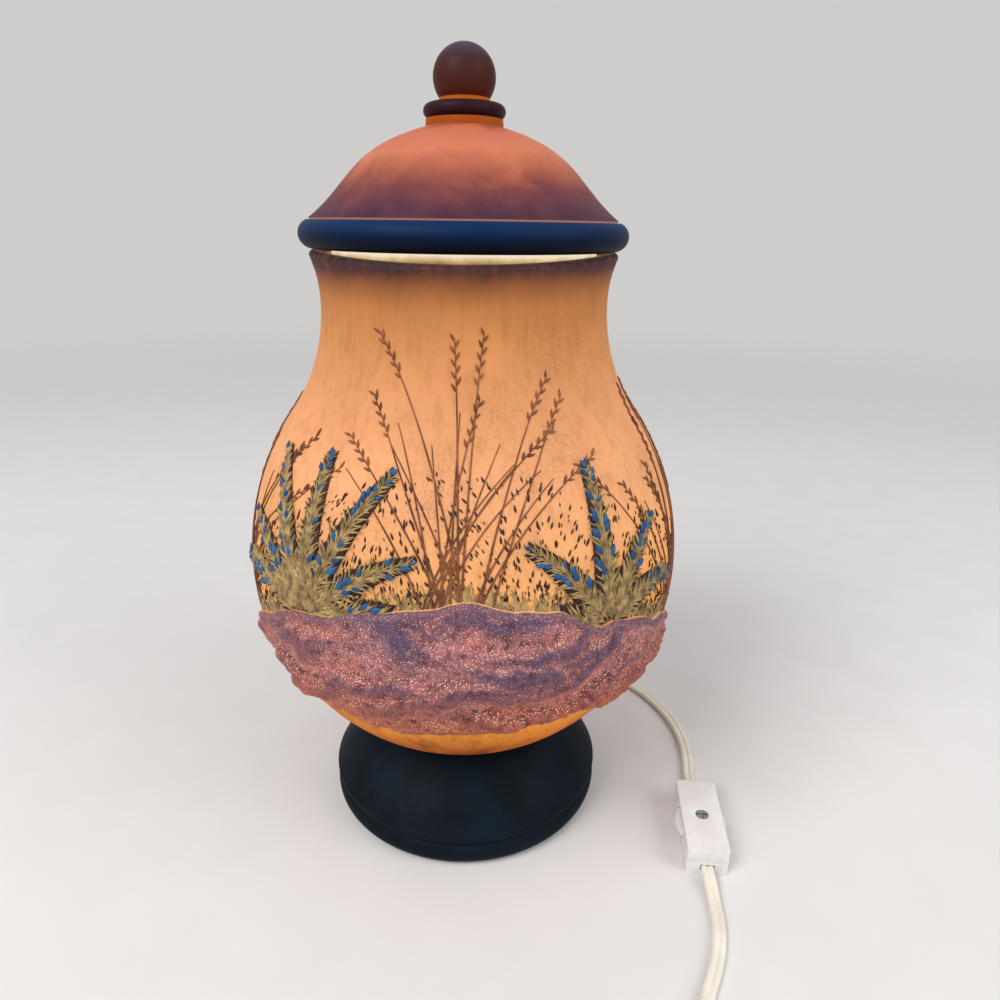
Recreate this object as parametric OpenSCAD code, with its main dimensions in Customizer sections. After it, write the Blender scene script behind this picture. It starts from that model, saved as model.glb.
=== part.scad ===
// Ceramic jar lamp: a lidded bisque jar on a turned base, lit by a bulb inside,
// with a flat two-core cord, an in-line wheel switch and a plug.
// Millimetres. The origin is the centre of the base on the table, +Z is up and -Y is the front.

/* [Base] */
// Height of the jar's seat above the table
base_h = 38; // [34:1:48]
// Thickness of the felt pad under the foot
pad_t = 1.5; // [1:0.5:3]
// Gap between the felt's edge and the edge of the foot's flat
pad_inset = 2; // [1:0.5:5]
// Widest radius of the half-round foot moulding
foot_r = 60; // [56:1:70]
// Radius of the foot moulding's round
foot_round = 6; // [4.5:0.5:7]
// Depth of the groove above the foot moulding
groove_d = 1.5; // [0.5:0.5:3]
// Radius of the bulge above the groove
bulge_r = 60; // [56:1:68]
// Height of the bulge's widest line above the foot moulding's
bulge_up = 8; // [7.5:0.5:11]
// Rounding of the bulge's edge
bulge_round = 2.5; // [1.5:0.5:4]
// Radius of the flat seat under the jar
seat_r = 37; // [36.5:0.5:44]
// How far the crown swells out of a straight cone
crown_sag = 2; // [0.5:0.5:4]
// Wall thickness of the base
base_wall = 6; // [4:0.5:8]
// Height of the spigot that centres the jar
spigot_h = 1.8; // [1:0.2:2.2]
// Height of the cord's hole above the table
cord_hole_z = 13; // [11:0.5:15]

/* [Jar] */
// Height of the jar from its seat to its rim
jar_h = 199.7; // [194:1:215]
// Radius of the jar's foot ring
jar_foot_r = 36; // [33:0.5:36.5]
// Width of the jar's foot ring
jar_ring_w = 6; // [4:0.5:9]
// Height of the jar's foot ring
jar_foot_h = 2.5; // [2.4:0.1:5]
// Thickness of the jar's floor
jar_floor_t = 5; // [4:0.5:8]
// Widest radius of the belly
belly_r = 86.3; // [78:1:96]
// Height of the belly's widest line above the seat
belly_up = 82; // [74:1:90]
// Radius of the shoulder's curve, seen from the side
shoulder_round = 100; // [94:1:106]
// Narrowest radius of the neck
neck_r = 53.7; // [50:0.5:58]
// Height of the neck's narrowest line above the seat
neck_up = 182; // [176:1:188]
// Radius of the rim
rim_r = 57.2; // [55:0.2:62]
// Wall thickness of the jar
jar_wall = 4.5; // [3:0.5:6]
// How far the rim dips at the front and the back
rim_dip = 3; // [1:0.5:5]

/* [Relief on the jar] */
// Thickness of the raised slip round the belly
slip_t = 2.6; // [2:0.1:3]
// Height of the slip's lower edge above the seat
slip_low_up = 42; // [36:1:48]
// Height of the slip's upper edge above the seat at the front and the back
slip_high_up = 96; // [88:1:104]
// Height of the slip's upper edge above the seat at the sides
slip_side_up = 60; // [54:1:66]
// Thickness of the raised sprays
spray_t = 1.8; // [1.2:0.1:1.9]
// Number of sprays; every third is a large one
spray_count = 5; // [3:1:6]
// Direction of the first spray in degrees from +X
spray_turn = -126; // [-180:1:180]
// Length of a large spray's middle stem
large_reach = 66; // [54:1:70]
// Length of a small spray's middle stem
small_reach = 54; // [44:1:60]
// Stems in a large spray
large_stems = 7; // [3:2:9]
// Stems in a small spray
small_stems = 5; // [3:2:7]
// Angle between a spray's middle stem and its outermost one
spray_fan = 52; // [40:1:56]
// Half the width of a stem with its leaves
frond_half_w = 4.5; // [3:0.5:5]

/* [Lid] */
// Outer radius of the lid's bead
bead_r = 59.9; // [58:0.5:66]
// Height of the lid's bead
bead_h = 10; // [8:0.5:12]
// Radius of the dome's foot, on top of the bead
dome_foot_r = 56; // [52:0.5:58]
// Height of the dome's top above the jar's rim
dome_up = 42.5; // [38:0.5:50]
// Radius the dome's round shoulder leans out to
dome_shoulder_r = 42; // [36:1:46]
// Depth of the dome's shoulder below its top
dome_shoulder_drop = 8; // [5:0.5:10]
// How far in the dome's foot sweeps before it steepens
dome_sweep_in = 17; // [14:0.5:20]
// How far up the dome's foot sweeps before it steepens
dome_sweep_up = 13; // [10:0.5:15]
// Wall thickness of the lid
lid_wall = 4; // [3:0.5:5]
// Depth of the flange that goes into the jar's mouth
flange_h = 9; // [6:0.5:14]
// Wall thickness of the flange
flange_wall = 3.5; // [2.5:0.5:5]
// Radius of the plinth under the collar
plinth_r = 13.8; // [12:0.1:14.2]
// Height of the plinth above the dome's top
plinth_up = 0.8; // [0.6:0.2:3]
// Outer radius of the finial's collar
collar_r = 14.5; // [13:0.25:17]
// Height of the finial's collar
collar_h = 5; // [4:0.5:8]
// Radius of the finial's neck
finial_neck_r = 8.8; // [7:0.2:9.6]
// Height of the finial's neck
finial_neck_h = 1.6; // [0.6:0.2:3]
// Radius of the ball
ball_r = 10.9; // [9.5:0.2:13]
// Radius of the hollow in the finial
finial_bore_r = 5.5; // [4:0.5:6]

/* [Fixings] */
// Outer radius of the threaded nipple
nipple_r = 4.85; // [4.5:0.05:5.5]
// Bore radius of the nipple
nipple_bore_r = 3.4; // [3.1:0.1:3.8]
// Length of the nipple below the lower nut
nipple_below = 6; // [4:1:10]
// Thickness of the washers
washer_t = 1.5; // [1:0.25:2.5]
// Radius of the washer inside the base
low_washer_r = 11; // [10:0.5:14]
// Radius of the washer inside the jar
high_washer_r = 14; // [10:0.5:18]
// Width of the lock nuts across flats
nut_flats = 15; // [13:0.5:17]
// Thickness of the lock nuts
nut_t = 4; // [3:0.5:5]

/* [Socket] */
// Height of the socket cap's threaded hub
hub_h = 8; // [7:0.5:12]
// Radius of the socket cap's hub
hub_r = 7.5; // [6.5:0.5:9]
// Height of the socket cap's bell
bell_h = 6; // [4:0.5:10]
// Height of the socket cap's skirt
skirt_h = 9; // [7:0.5:12]
// Outer radius of the socket's shell
shell_r = 16.5; // [16.3:0.1:18]
// Length of the socket's shell
shell_h = 40; // [39:0.5:46]
// Thickness of the socket's sheet metal
sheet_t = 0.6; // [0.4:0.1:1]
// Thickness of the fibre sleeve
sleeve_t = 0.6; // [0.4:0.1:0.8]
// Height of the moulded socket body
body_h = 13; // [12:0.5:16]
// Length of the screw shell
screw_shell_h = 24; // [20:0.5:25]
// Height of the centre contact
contact_h = 2.3; // [1.8:0.1:3]
// Radius of the terminal screws' heads
terminal_r = 3; // [2:0.25:3.5]
// Radius of the set screw
set_screw_r = 1.8; // [1.5:0.1:2.2]

/* [Bulb] */
// Outer radius of the bulb's screw cap
bulb_cap_r = 13.05; // [12.9:0.05:13.2]
// Height of the bulb's screw cap
bulb_cap_h = 20; // [18:0.5:24]
// Height of the black glass insulator
bulb_insulator_h = 4; // [3:0.5:5]
// Thickness of the solder contact
bulb_contact_t = 1.6; // [1:0.2:2.4]
// Radius of the glass bulb
bulb_r = 24; // [22:0.5:30]
// Length of the glass
glass_h = 69; // [62:1:78]
// Thickness of the glass
glass_t = 0.8; // [0.6:0.1:1.2]
// Length of the glass stem
stem_h = 22; // [18:1:26]
// Radius of the support wires
wire_r = 0.6; // [0.5:0.1:1]

/* [Cord] */
// Width of the flat cord
cord_w = 5.3; // [5:0.1:5.6]
// Thickness of the flat cord
cord_t = 2.7; // [2.5:0.1:2.9]
// Radius of the cord bushing's body
bush_r = 4.5; // [4.2:0.1:5.2]
// Radius of the bushing's flange
bush_flange_r = 6.5; // [6:0.25:8]
// Thickness of the bushing's flange
bush_flange_t = 2; // [1.5:0.5:3]
// Length of the bushing's tapered nose
bush_nose = 16; // [12:1:17]

/* [Switch] */
// Place of the switch to the right of the lamp's axis
switch_x = 102.5; // [98:0.5:108]
// Place of the switch along Y: less than 0 is in front of the lamp's axis
switch_y = -41; // [-45:0.5:-38]
// Turn of the switch about the vertical
switch_turn = -5.5; // [-9:0.5:-2]
// Length of the switch
switch_l = 40.5; // [38:0.5:44]
// Width of the switch
switch_w = 17; // [16:0.25:18.5]
// Height of the switch
switch_h = 12; // [11.5:0.25:14]
// Height of the case's split line
switch_split = 6; // [5.5:0.25:7]
// Corner radius of the case
switch_corner = 1.6; // [0.8:0.2:2.4]
// Wall thickness of the case
switch_wall = 1.6; // [1.2:0.1:2]
// Radius of the thumb wheel
wheel_r = 10.7; // [10:0.1:12]
// Thickness of the thumb wheel
wheel_t = 3.6; // [3:0.1:3.8]
// Height of the thumb wheel's underside
wheel_z = 5.2; // [5.1:0.1:5.6]
// Count of the thumb wheel's grooves
wheel_grooves = 30; // [16:2:40]
// Radius of the post that the wheel turns on
post_r = 2.6; // [2.4:0.05:2.9]
// Radius of the screw's shank
switch_screw_r = 1.2; // [1:0.05:1.4]
// Radius of the screw's head
switch_head_r = 2.5; // [2.2:0.1:3]
// Height of the screw's head
switch_head_h = 1.2; // [0.8:0.1:1.6]
// Height of the cord's middle where it enters the case
switch_cord_z = 3.2; // [3:0.05:3.4]

/* [Coil] */
// Place of the coil to the right of the lamp's axis
coil_x = 40; // [34:1:44]
// Place of the coil along Y: less than 0 is in front of the lamp's axis
coil_y = -165; // [-172:1:-163]
// Radius at the middle of the coil's turns
coil_mid_r = 31; // [29:0.5:32]
// Count of turns in the coil, in two layers
coil_turns = 7.25; // [5.25:1:8.25]
// Gap between neighbouring turns
coil_gap = 0.7; // [0.6:0.1:1]
// Thickness of the coil's tie
tie_t = 0.8; // [0.6:0.1:1.2]
// Width of the coil's tie
tie_w = 5; // [3:0.5:7]

/* [Plug] */
// Place of the plug's cord end to the right of the lamp's axis
plug_x = 8; // [4:1:10]
// Length of the plug's grip
plug_l = 22; // [18:1:30]
// Width of the plug
plug_w = 23; // [20:0.5:27]
// Thickness of the plug
plug_t = 14; // [12:0.5:17]
// Length of the plug's tapered strain relief
relief_l = 20; // [16:1:26]
// Length of the plug's blades
blade_l = 17; // [15:0.5:18]
// Width of the blades
blade_w = 6.3; // [6.2:0.1:6.6]
// Thickness of the blades
blade_t = 1.5; // [1.4:0.1:1.6]
// Distance between the blades' middles
blade_gap = 12.7; // [12.6:0.1:12.8]

/* [Fits] */
// Gap between the jar's spigot, flange and holes and what they fit
fit_gap = 0.6; // [0.4:0.1:1]
// Gap under the lid's bead at its two resting places
seat_gap = 0.3; // [0.2:0.1:0.5]
// Gap between the thin socket pieces
socket_gap = 0.2; // [0.15:0.05:0.3]
// Gap between a thread and its nut
thread_gap = 0.05; // [0.03:0.01:0.1]
// Gap between the bulb's thread and the screw shell
bulb_gap = 0.35; // [0.3:0.05:0.5]
// Running gap between the thumb wheel and its post
run_gap = 0.08; // [0.05:0.01:0.1]
// Gap around the thumb wheel inside the case
wheel_gap = 0.4; // [0.3:0.05:0.6]
// Gap between the cord and the slots that it passes through
slot_gap = 0.2; // [0.1:0.05:0.3]

/* [Hidden] */
$fn = 96;

// Colours
paint_blue = "#1b2c38";
bisque = "#d99a63";
lid_tan = "#b8795a";
ivory = "#e6e2d8";
brass_yellow = "#b8923f";
steel_grey = "#9b9fa3";

// Heights up the lamp
bulge_z = foot_round + bulge_up;
foot_z = base_h + jar_foot_h;
floor_z = foot_z + jar_floor_t;
belly_z = base_h + belly_up;
neck_z = base_h + neck_up;
rim_z = base_h + jar_h;
bead_z = rim_z + seat_gap;
dome_foot_z = bead_z + bead_h;
dome_z = rim_z + dome_up;
collar_z = dome_z + plinth_up;
ball_z = collar_z + collar_h + finial_neck_h + sqrt(ball_r * ball_r - finial_neck_r * finial_neck_r);

// Radii of the jar's curves: each meets its neighbour without a corner
low_round = fall_round(belly_r - jar_foot_r, belly_z - foot_z);
low_mid = belly_r - low_round;
shoulder_mid = belly_r - shoulder_round;
neck_run = neck_r - shoulder_mid;
neck_rise = neck_z - belly_z;
neck_round = (neck_run * neck_run + neck_rise * neck_rise - shoulder_round * shoulder_round)
    / (2 * (shoulder_round - neck_run));
shoulder_end = atan2(neck_rise, neck_run + neck_round);
shoulder_end_z = belly_z + shoulder_round * sin(shoulder_end);
neck_turn = 180 + shoulder_end;
low_mid_p = [low_mid, belly_z];
shoulder_mid_p = [shoulder_mid, belly_z];
neck_mid = [neck_r + neck_round, neck_z];
flare_round = fall_round(rim_r - neck_r, rim_z - neck_z);
flare_end = asin((rim_z - neck_z) / flare_round);
saddle_r = fall_round(rim_dip, rim_r);
// Degrees left out where one arc runs on from another
arc_seam = 1;

// The raised slip's edges, and how a spray's stems droop and shorten from its middle outwards
slip_low_z = base_h + slip_low_up;
slip_high_z = base_h + slip_high_up;
slip_arch_r = fall_round(slip_high_up - slip_side_up, belly_r);
spray_sink = 4;
stem_droop = 1.1;
side_short = 0.22;
odd_short = 0.14;
stem_steps = 10;
frond_fork = 4;
frond_wide = 8;

// Radii inside the mouth, and of the foot and the seat
mouth_r = neck_r - jar_wall;
flange_r = mouth_r - fit_gap;
flange_in_r = flange_r - flange_wall;
spigot_r = jar_foot_r - jar_ring_w - fit_gap;
nipple_hole_r = nipple_r + fit_gap / 2;

// The base's crown and the hollow under it
edge_turn = 45;
groove_turn = 65;
crown_foot = [bulge_r - bulge_round + bulge_round * cos(edge_turn), bulge_z + bulge_round * sin(edge_turn)];
crown_slope = (base_h - crown_foot[1]) / (crown_foot[0] - seat_r);
crown_drop = base_wall * sqrt(1 + crown_slope * crown_slope);
hollow_r = foot_r - foot_round - base_wall / 2;
ceiling_z = base_h - base_wall;
foot_flat_r = foot_r - foot_round + sqrt(foot_round * foot_round - pow(foot_round - pad_t, 2));

// The stack of fixings, socket and bulb on the jar's floor
low_washer_z = ceiling_z - washer_t;
low_nut_z = low_washer_z - nut_t;
nipple_z = low_nut_z - nipple_below;
high_nut_z = floor_z + washer_t;
socket_z = high_nut_z + nut_t;
nipple_top_z = socket_z + hub_h;
shell_z = nipple_top_z + bell_h;
nut_bore_r = nipple_r + thread_gap;
cap_r = shell_r + socket_gap + sheet_t;
sleeve_r = shell_r - sheet_t - socket_gap;
body_r = sleeve_r - sleeve_t - socket_gap;
body_z = shell_z + sheet_t;
body_top_z = body_z + body_h;
screw_shell_r = bulb_cap_r + bulb_gap;
bulb_z = body_top_z + contact_h + seat_gap;
insulator_z = bulb_z + bulb_contact_t;
bulb_cap_z = insulator_z + bulb_insulator_h;
glass_grip = 2;
glass_z = bulb_cap_z + bulb_cap_h - glass_grip;
glass_neck_r = bulb_cap_r - sheet_t - thread_gap;
globe_z = glass_z + glass_h - bulb_r;
stem_z = glass_z + glass_grip;
stem_top_z = stem_z + stem_h;

// The cord's two bare cores, from its end to the terminal screws
lead_r = 0.8;
lead_z = nipple_top_z + 1.5;
terminal_z = body_z + body_h / 2;
lead_x = body_r - terminal_r / 2;

// The cord's bushing in the back of the base
bush_seat_y = min(foot_r, bulge_r) - bush_flange_t - 1;
bush_in_y = hollow_r - 1;
bush_end_y = bush_seat_y + bush_flange_t + bush_nose;
slot_w = cord_w + 2 * slot_gap;
slot_t = cord_t + 2 * slot_gap;

// The switch's inner heights
switch_head_z = switch_h - switch_head_h;
switch_floor = 1.5;
switch_nut_z = 0.1;
switch_nut_t = 0.9;
switch_roof = switch_h - wheel_z - wheel_t - wheel_gap;
core_r = cord_t / 2 - 0.05;
core_spread = post_r + core_r + slot_gap;
core_bend_y = switch_l / 2 - 8;
blade_z = switch_cord_z + core_r + thread_gap;

// The coil's sizes
rings_a_turn = 24;
coil_pitch = cord_t + coil_gap;
coil_out_r = coil_mid_r + coil_pitch * coil_turns / 4;
coil_in_r = coil_mid_r - coil_pitch * coil_turns / 4;
coil_low_z = tie_t + coil_gap + cord_w / 2;
coil_high_z = coil_low_z + cord_w + coil_gap;

// The cord's routes. Points on the table are the middle of a cord that lies flat.
lie = cord_t / 2;
stretch_1 = concat(
    [[0, bush_end_y, cord_hole_z], [0, bush_end_y + cord_w, cord_hole_z]],
    [[1, 88, 11.5], [4.5, 95, 8.5], [10, 101, 5], [18, 105, 2.5]],
    [for (p = [[27, 107], [37, 107], [47, 105], [57, 101], [66, 95], [74.5, 88], [82.5, 79], [90, 69],
        [96.5, 60.5], [101.5, 51], [106, 40], [108.5, 28], [109, 16], [108, 5], [106, -6]])
        [p[0], p[1], lie]],
    [switch_point([0, switch_l / 2 + cord_w, switch_cord_z]), switch_point([0, switch_l / 2, switch_cord_z])]
);
// Each point of the second stretch has the cord's turn as its fourth number: it lies flat at first,
// and stands on edge in the coil.
stretch_2 = concat(
    [for (y = [0, cord_w]) concat(switch_point([0, -switch_l / 2 - y, switch_cord_z]), 0)],
    [[99.8, -75, lie, 0], [98.8, -85, lie, 0], [96.5, -94, lie, 0], [93, -102.5, lie, 0],
        [89, -110, lie, 5], [85, -118, 1.8, 25], [81.5, -127, 2.6, 50], [79, -137, 3.4, 75],
        [77.5, -147, coil_low_z, 90]],
    [for (y = [2 * cord_w, cord_w]) [coil_x + coil_out_r, coil_y + y, coil_low_z, 90]]
);
tail_start = [coil_x - cord_w, coil_y - coil_out_r, coil_high_z];
tail_end = [plug_x, coil_y - coil_out_r, plug_t / 2];
tail = [
    for (i = [0:8])
        let (t = max(0, min(1, (i - 1) / 6)))
        let (ease = t * t * (3 - 2 * t))
        [
            tail_start[0] + (tail_end[0] - tail_start[0]) * i / 8,
            tail_start[1],
            tail_start[2] + (tail_end[2] - tail_start[2]) * ease,
            90 - 90 * ease
        ]
];
inner_route = [
    [0, bush_end_y, cord_hole_z], [0, bush_seat_y, cord_hole_z], [0, 46, cord_hole_z],
    [0, 38, 12], [0, 30, 10], [0, 22, 8.5], [0, 15, 8.5], [0, 8.5, 10], [0, 3.5, 13], [0, 0.8, 16.5],
    [0, 0, nipple_z + 1], [0, 0, low_nut_z], [0, 0, ceiling_z], [0, 0, floor_z],
    [0, 0, nipple_top_z], [0, 0, lead_z]
];

// The coil: two layers of a cord on edge, spiralling in and out at a steady rate
coil_middle = [
    for (i = [0:coil_turns * rings_a_turn])
        let (turn = i / rings_a_turn, from_middle = turn - coil_turns / 2)
        let (r = coil_in_r + coil_pitch * abs(from_middle))
        let (climb = max(0, min(1, 2 * from_middle + 0.5)))
        [
            coil_x + r * cos(-360 * turn),
            coil_y + r * sin(-360 * turn),
            coil_low_z + (coil_high_z - coil_low_z) * climb
        ]
];
coil_route = concat(
    [coil_middle[0] + [0, cord_w, 0]],
    coil_middle,
    [coil_middle[len(coil_middle) - 1] - [cord_w, 0, 0]]
);
coil_rings = sweep(coil_route, coil_section(), [0, 0, 1], [for (p = coil_route) 90]);
coil_self_gap = min([
    for (i = [0:len(coil_route) - 1], j = [i + rings_a_turn / 2:1:len(coil_route) - 1])
        if (norm(coil_route[i] - coil_route[j]) < 2 * cord_w)
            min([for (p = coil_rings[i], q = coil_rings[j]) norm(p - q)])
]);
echo(coil_self_gap = coil_self_gap);
echo(coil_length = route_length(coil_route));
echo(cord_length = route_length(stretch_1) + switch_l + route_length(places(stretch_2))
    + route_length(coil_route) + route_length(places(tail)));

// Radius of a curve that starts upright and falls away by a given run over a given rise
function fall_round(run, rise) = (run * run + rise * rise) / (2 * run);
function unit(v) = v / norm(v);
function arc(middle, r, from, to, steps) =
    [for (i = [0:steps]) let (a = from + (to - from) * i / steps) middle + r * [cos(a), sin(a)]];
function bend(p, q, s, steps) =
    [for (i = [0:steps]) let (t = i / steps) (1 - t) * (1 - t) * p + 2 * t * (1 - t) * q + t * t * s];
function sway(p, q, s, e, steps) = [
    for (i = [0:steps])
        let (t = i / steps, u = 1 - t)
        u * u * u * p + 3 * u * u * t * q + 3 * u * t * t * s + t * t * t * e
];
function switch_point(p) = [
    switch_x + p[0] * cos(switch_turn) - p[1] * sin(switch_turn),
    switch_y + p[0] * sin(switch_turn) + p[1] * cos(switch_turn),
    p[2]
];
function places(route) = [for (p = route) [p[0], p[1], p[2]]];
function turns(route) = [for (p = route) p[3]];
function route_length(route, i = 1) =
    i < len(route) ? norm(route[i] - route[i - 1]) + route_length(route, i + 1) : 0;

// Sections of the flat cord: eight sides where it lies free, six in the coil
function cord_section() = [
    for (s = [[1, 0.45], [0.6, 1], [-0.6, 1], [-1, 0.45], [-1, -0.45], [-0.6, -1], [0.6, -1], [1, -0.45]])
        [s[0] * cord_w / 2, s[1] * cord_t / 2]
];
function coil_section() = [
    for (s = [[1, 0], [0.6, 1], [-0.6, 1], [-1, 0], [-0.6, -1], [0.6, -1]])
        [s[0] * cord_w / 2, s[1] * cord_t / 2]
];
// Rings of a section along a route, square to it, each turned about it by its own angle
function sweep(route, section, up, turn) = [
    for (i = [0:len(route) - 1])
        let (ahead = unit(route[min(i + 1, len(route) - 1)] - route[max(i - 1, 0)]))
        let (side = unit(cross(ahead, up)))
        let (over = cross(side, ahead))
        [
            for (s = section)
                route[i]
                    + side * (s[0] * cos(turn[i]) - s[1] * sin(turn[i]))
                    + over * (s[0] * sin(turn[i]) + s[1] * cos(turn[i]))
        ]
];

module tube(rings) {
    n = len(rings[0]);
    last = (len(rings) - 1) * n;
    walls = [
        for (i = [0:len(rings) - 2], k = [0:n - 1])
            let (a = i * n + k, b = i * n + (k + 1) % n)
            each [[a, a + n, b], [b, a + n, b + n]]
    ];
    caps = [for (k = [1:n - 2]) each [[0, k, k + 1], [last, last + k + 1, last + k]]];
    polyhedron([for (r = rings) each r], concat(walls, caps));
}

module ring(r, bore, h) {
    difference() {
        cylinder(r = r, h = h);
        translate([0, 0, -1]) cylinder(r = bore, h = h + 2);
    }
}

module nut(z) {
    translate([0, 0, z])
        difference() {
            cylinder(r = nut_flats / sqrt(3), h = nut_t, $fn = 6);
            translate([0, 0, -1]) cylinder(r = nut_bore_r, h = nut_t + 2);
        }
}

module at_back(y) {
    translate([0, y, cord_hole_z]) rotate([-90, 0, 0]) children();
}

module at_switch() {
    translate([switch_x, switch_y, 0]) rotate([0, 0, switch_turn]) children();
}

// Felt pad under the foot
module base_pad() {
    color("#2b2b2b") cylinder(r = foot_flat_r - pad_inset, h = pad_t);
}

// Turned base: half-round foot, groove, bulge and crown, hollow from below
module base() {
    foot_mid = [foot_r - foot_round, foot_round];
    bulge_mid = [bulge_r - bulge_round, bulge_z];
    foot_arc = arc(foot_mid, foot_round, asin((pad_t - foot_round) / foot_round), groove_turn, 14);
    bulge_arc = arc(bulge_mid, bulge_round, -groove_turn, edge_turn, 10);
    groove = [
        foot_arc[len(foot_arc) - 1][0] - groove_d,
        (foot_arc[len(foot_arc) - 1][1] + bulge_arc[0][1]) / 2
    ];
    seat = [seat_r, base_h];
    swell = (crown_foot + seat) / 2 + 2 * crown_sag * unit([seat[1] - crown_foot[1], crown_foot[0] - seat[0]]);
    outside = concat(
        [[hollow_r, pad_t]], foot_arc, [groove], bulge_arc, bend(crown_foot, swell, seat, 10)
    );
    hollow = [
        [nipple_hole_r, base_h],
        [nipple_hole_r, ceiling_z],
        [seat_r - (crown_drop - base_wall) / crown_slope, ceiling_z],
        [hollow_r, base_h + crown_slope * (seat_r - hollow_r) - crown_drop]
    ];
    color(paint_blue)
        difference() {
            union() {
                rotate_extrude() polygon(concat(outside, hollow));
                translate([0, 0, base_h - base_wall / 2])
                    ring(spigot_r, nipple_hole_r, base_wall / 2 + spigot_h);
            }
            at_back(hollow_r - base_wall) cylinder(r = bush_r + slot_gap, h = 3 * base_wall);
            at_back(bush_seat_y) cylinder(r = bush_flange_r + slot_gap, h = 3 * base_wall);
        }
}

// Radius of the jar's wall at a height, and how much of a step up the wall is a rise there
function wall_r(z) =
    z < belly_z ? low_mid + sqrt(low_round * low_round - pow(z - belly_z, 2)) :
    z < shoulder_end_z ? shoulder_mid + sqrt(shoulder_round * shoulder_round - pow(z - belly_z, 2)) :
    neck_mid[0] - sqrt(neck_round * neck_round - pow(z - neck_z, 2));
function wall_rise(z) =
    z < belly_z ? (wall_r(z) - low_mid) / low_round :
    z < shoulder_end_z ? (wall_r(z) - shoulder_mid) / shoulder_round :
    (neck_mid[0] - wall_r(z)) / neck_round;

// Height of the slip's upper edge in a direction round the jar
function slip_edge(turn) =
    slip_high_z - slip_arch_r + sqrt(slip_arch_r * slip_arch_r - pow(belly_r * cos(turn), 2));

// Points of a stem on the wall: its turn from the spray's middle, its height and its lean
function stem_line(z, lean, reach) = [
    for (
        i = 0, t = 0, h = z, l = lean;
        i <= stem_steps;
        t = t + reach / stem_steps * sin(l) / wall_r(h) * 180 / PI,
        h = h + reach / stem_steps * cos(l) * wall_rise(h),
        l = l + stem_droop * lean / stem_steps,
        i = i + 1
    ) [t, h, l]
];

// Points of a stem, or beside it, as they are seen from outside
function facing(p) = [wall_r(p[1]) * sin(p[0]), p[1]];
function beside(p, w) = facing(p) + w * [cos(p[2]), -sin(p[2])];

// Prism through the wall in the shape of a spray: a fan of drooping fronds
module spray(turn, stems, reach) {
    root_z = slip_edge(turn) - spray_sink;
    last = stems - 1;
    lines = [
        for (i = [0 : last])
            let (
                side = 2 * i / last - 1,
                long = reach * (1 - side_short * abs(side)) * (1 - odd_short * (i % 2))
            )
            stem_line(root_z, spray_fan * side, long)
    ];
    tips = [
        for (i = [0 : last]) each concat(
            [beside(lines[i][frond_wide], -frond_half_w)],
            [facing(lines[i][stem_steps])],
            [beside(lines[i][frond_wide], frond_half_w)],
            i < last ? [(facing(lines[i][frond_fork]) + facing(lines[i + 1][frond_fork])) / 2] : []
        )
    ];
    root = [
        beside(lines[last][frond_fork], frond_half_w),
        [frond_half_w, root_z],
        [-frond_half_w, root_z],
        beside(lines[0][frond_fork], -frond_half_w)
    ];
    rotate([0, 0, turn])
        translate([neck_r / 2, 0, 0])
            rotate([90, 0, 90])
                linear_extrude(2 * belly_r) polygon(concat(tips, root));
}

// Raised slip round the wall, its upper edge arched, and sprays that grow from it
module relief() {
    low_turn = asin((slip_low_z - belly_z) / low_round);
    half_turn = shoulder_end / 2;
    band_in = jar_wall / 2;
    band = concat(
        arc(low_mid_p, low_round + slip_t, low_turn, 0, 6),
        arc(shoulder_mid_p, shoulder_round + slip_t, arc_seam, half_turn, 4),
        arc(shoulder_mid_p, shoulder_round - band_in, half_turn, arc_seam, 4),
        arc(low_mid_p, low_round - band_in, 0, low_turn, 6)
    );
    frond_in = jar_wall / 4;
    fronds = concat(
        arc(low_mid_p, low_round + spray_t, low_turn, 0, 5),
        arc(shoulder_mid_p, shoulder_round + spray_t, arc_seam, shoulder_end, 6),
        arc(neck_mid, neck_round - spray_t, neck_turn - arc_seam, neck_turn - half_turn, 2),
        arc(neck_mid, neck_round + frond_in, neck_turn - half_turn, neck_turn - arc_seam, 2),
        arc(shoulder_mid_p, shoulder_round - frond_in, shoulder_end, arc_seam, 6),
        arc(low_mid_p, low_round - frond_in, 0, low_turn, 5)
    );
    intersection() {
        rotate_extrude() polygon(band);
        translate([0, 0, slip_high_z - slip_arch_r])
            rotate([90, 0, 0])
                cylinder(r = slip_arch_r, h = 4 * belly_r, center = true, $fn = 180);
    }
    for (i = [0 : spray_count - 1])
        intersection() {
            rotate_extrude() polygon(fronds);
            spray(
                spray_turn + i * 360 / spray_count,
                i % 3 == 0 ? large_stems : small_stems,
                i % 3 == 0 ? large_reach : small_reach
            );
        }
}

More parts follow.
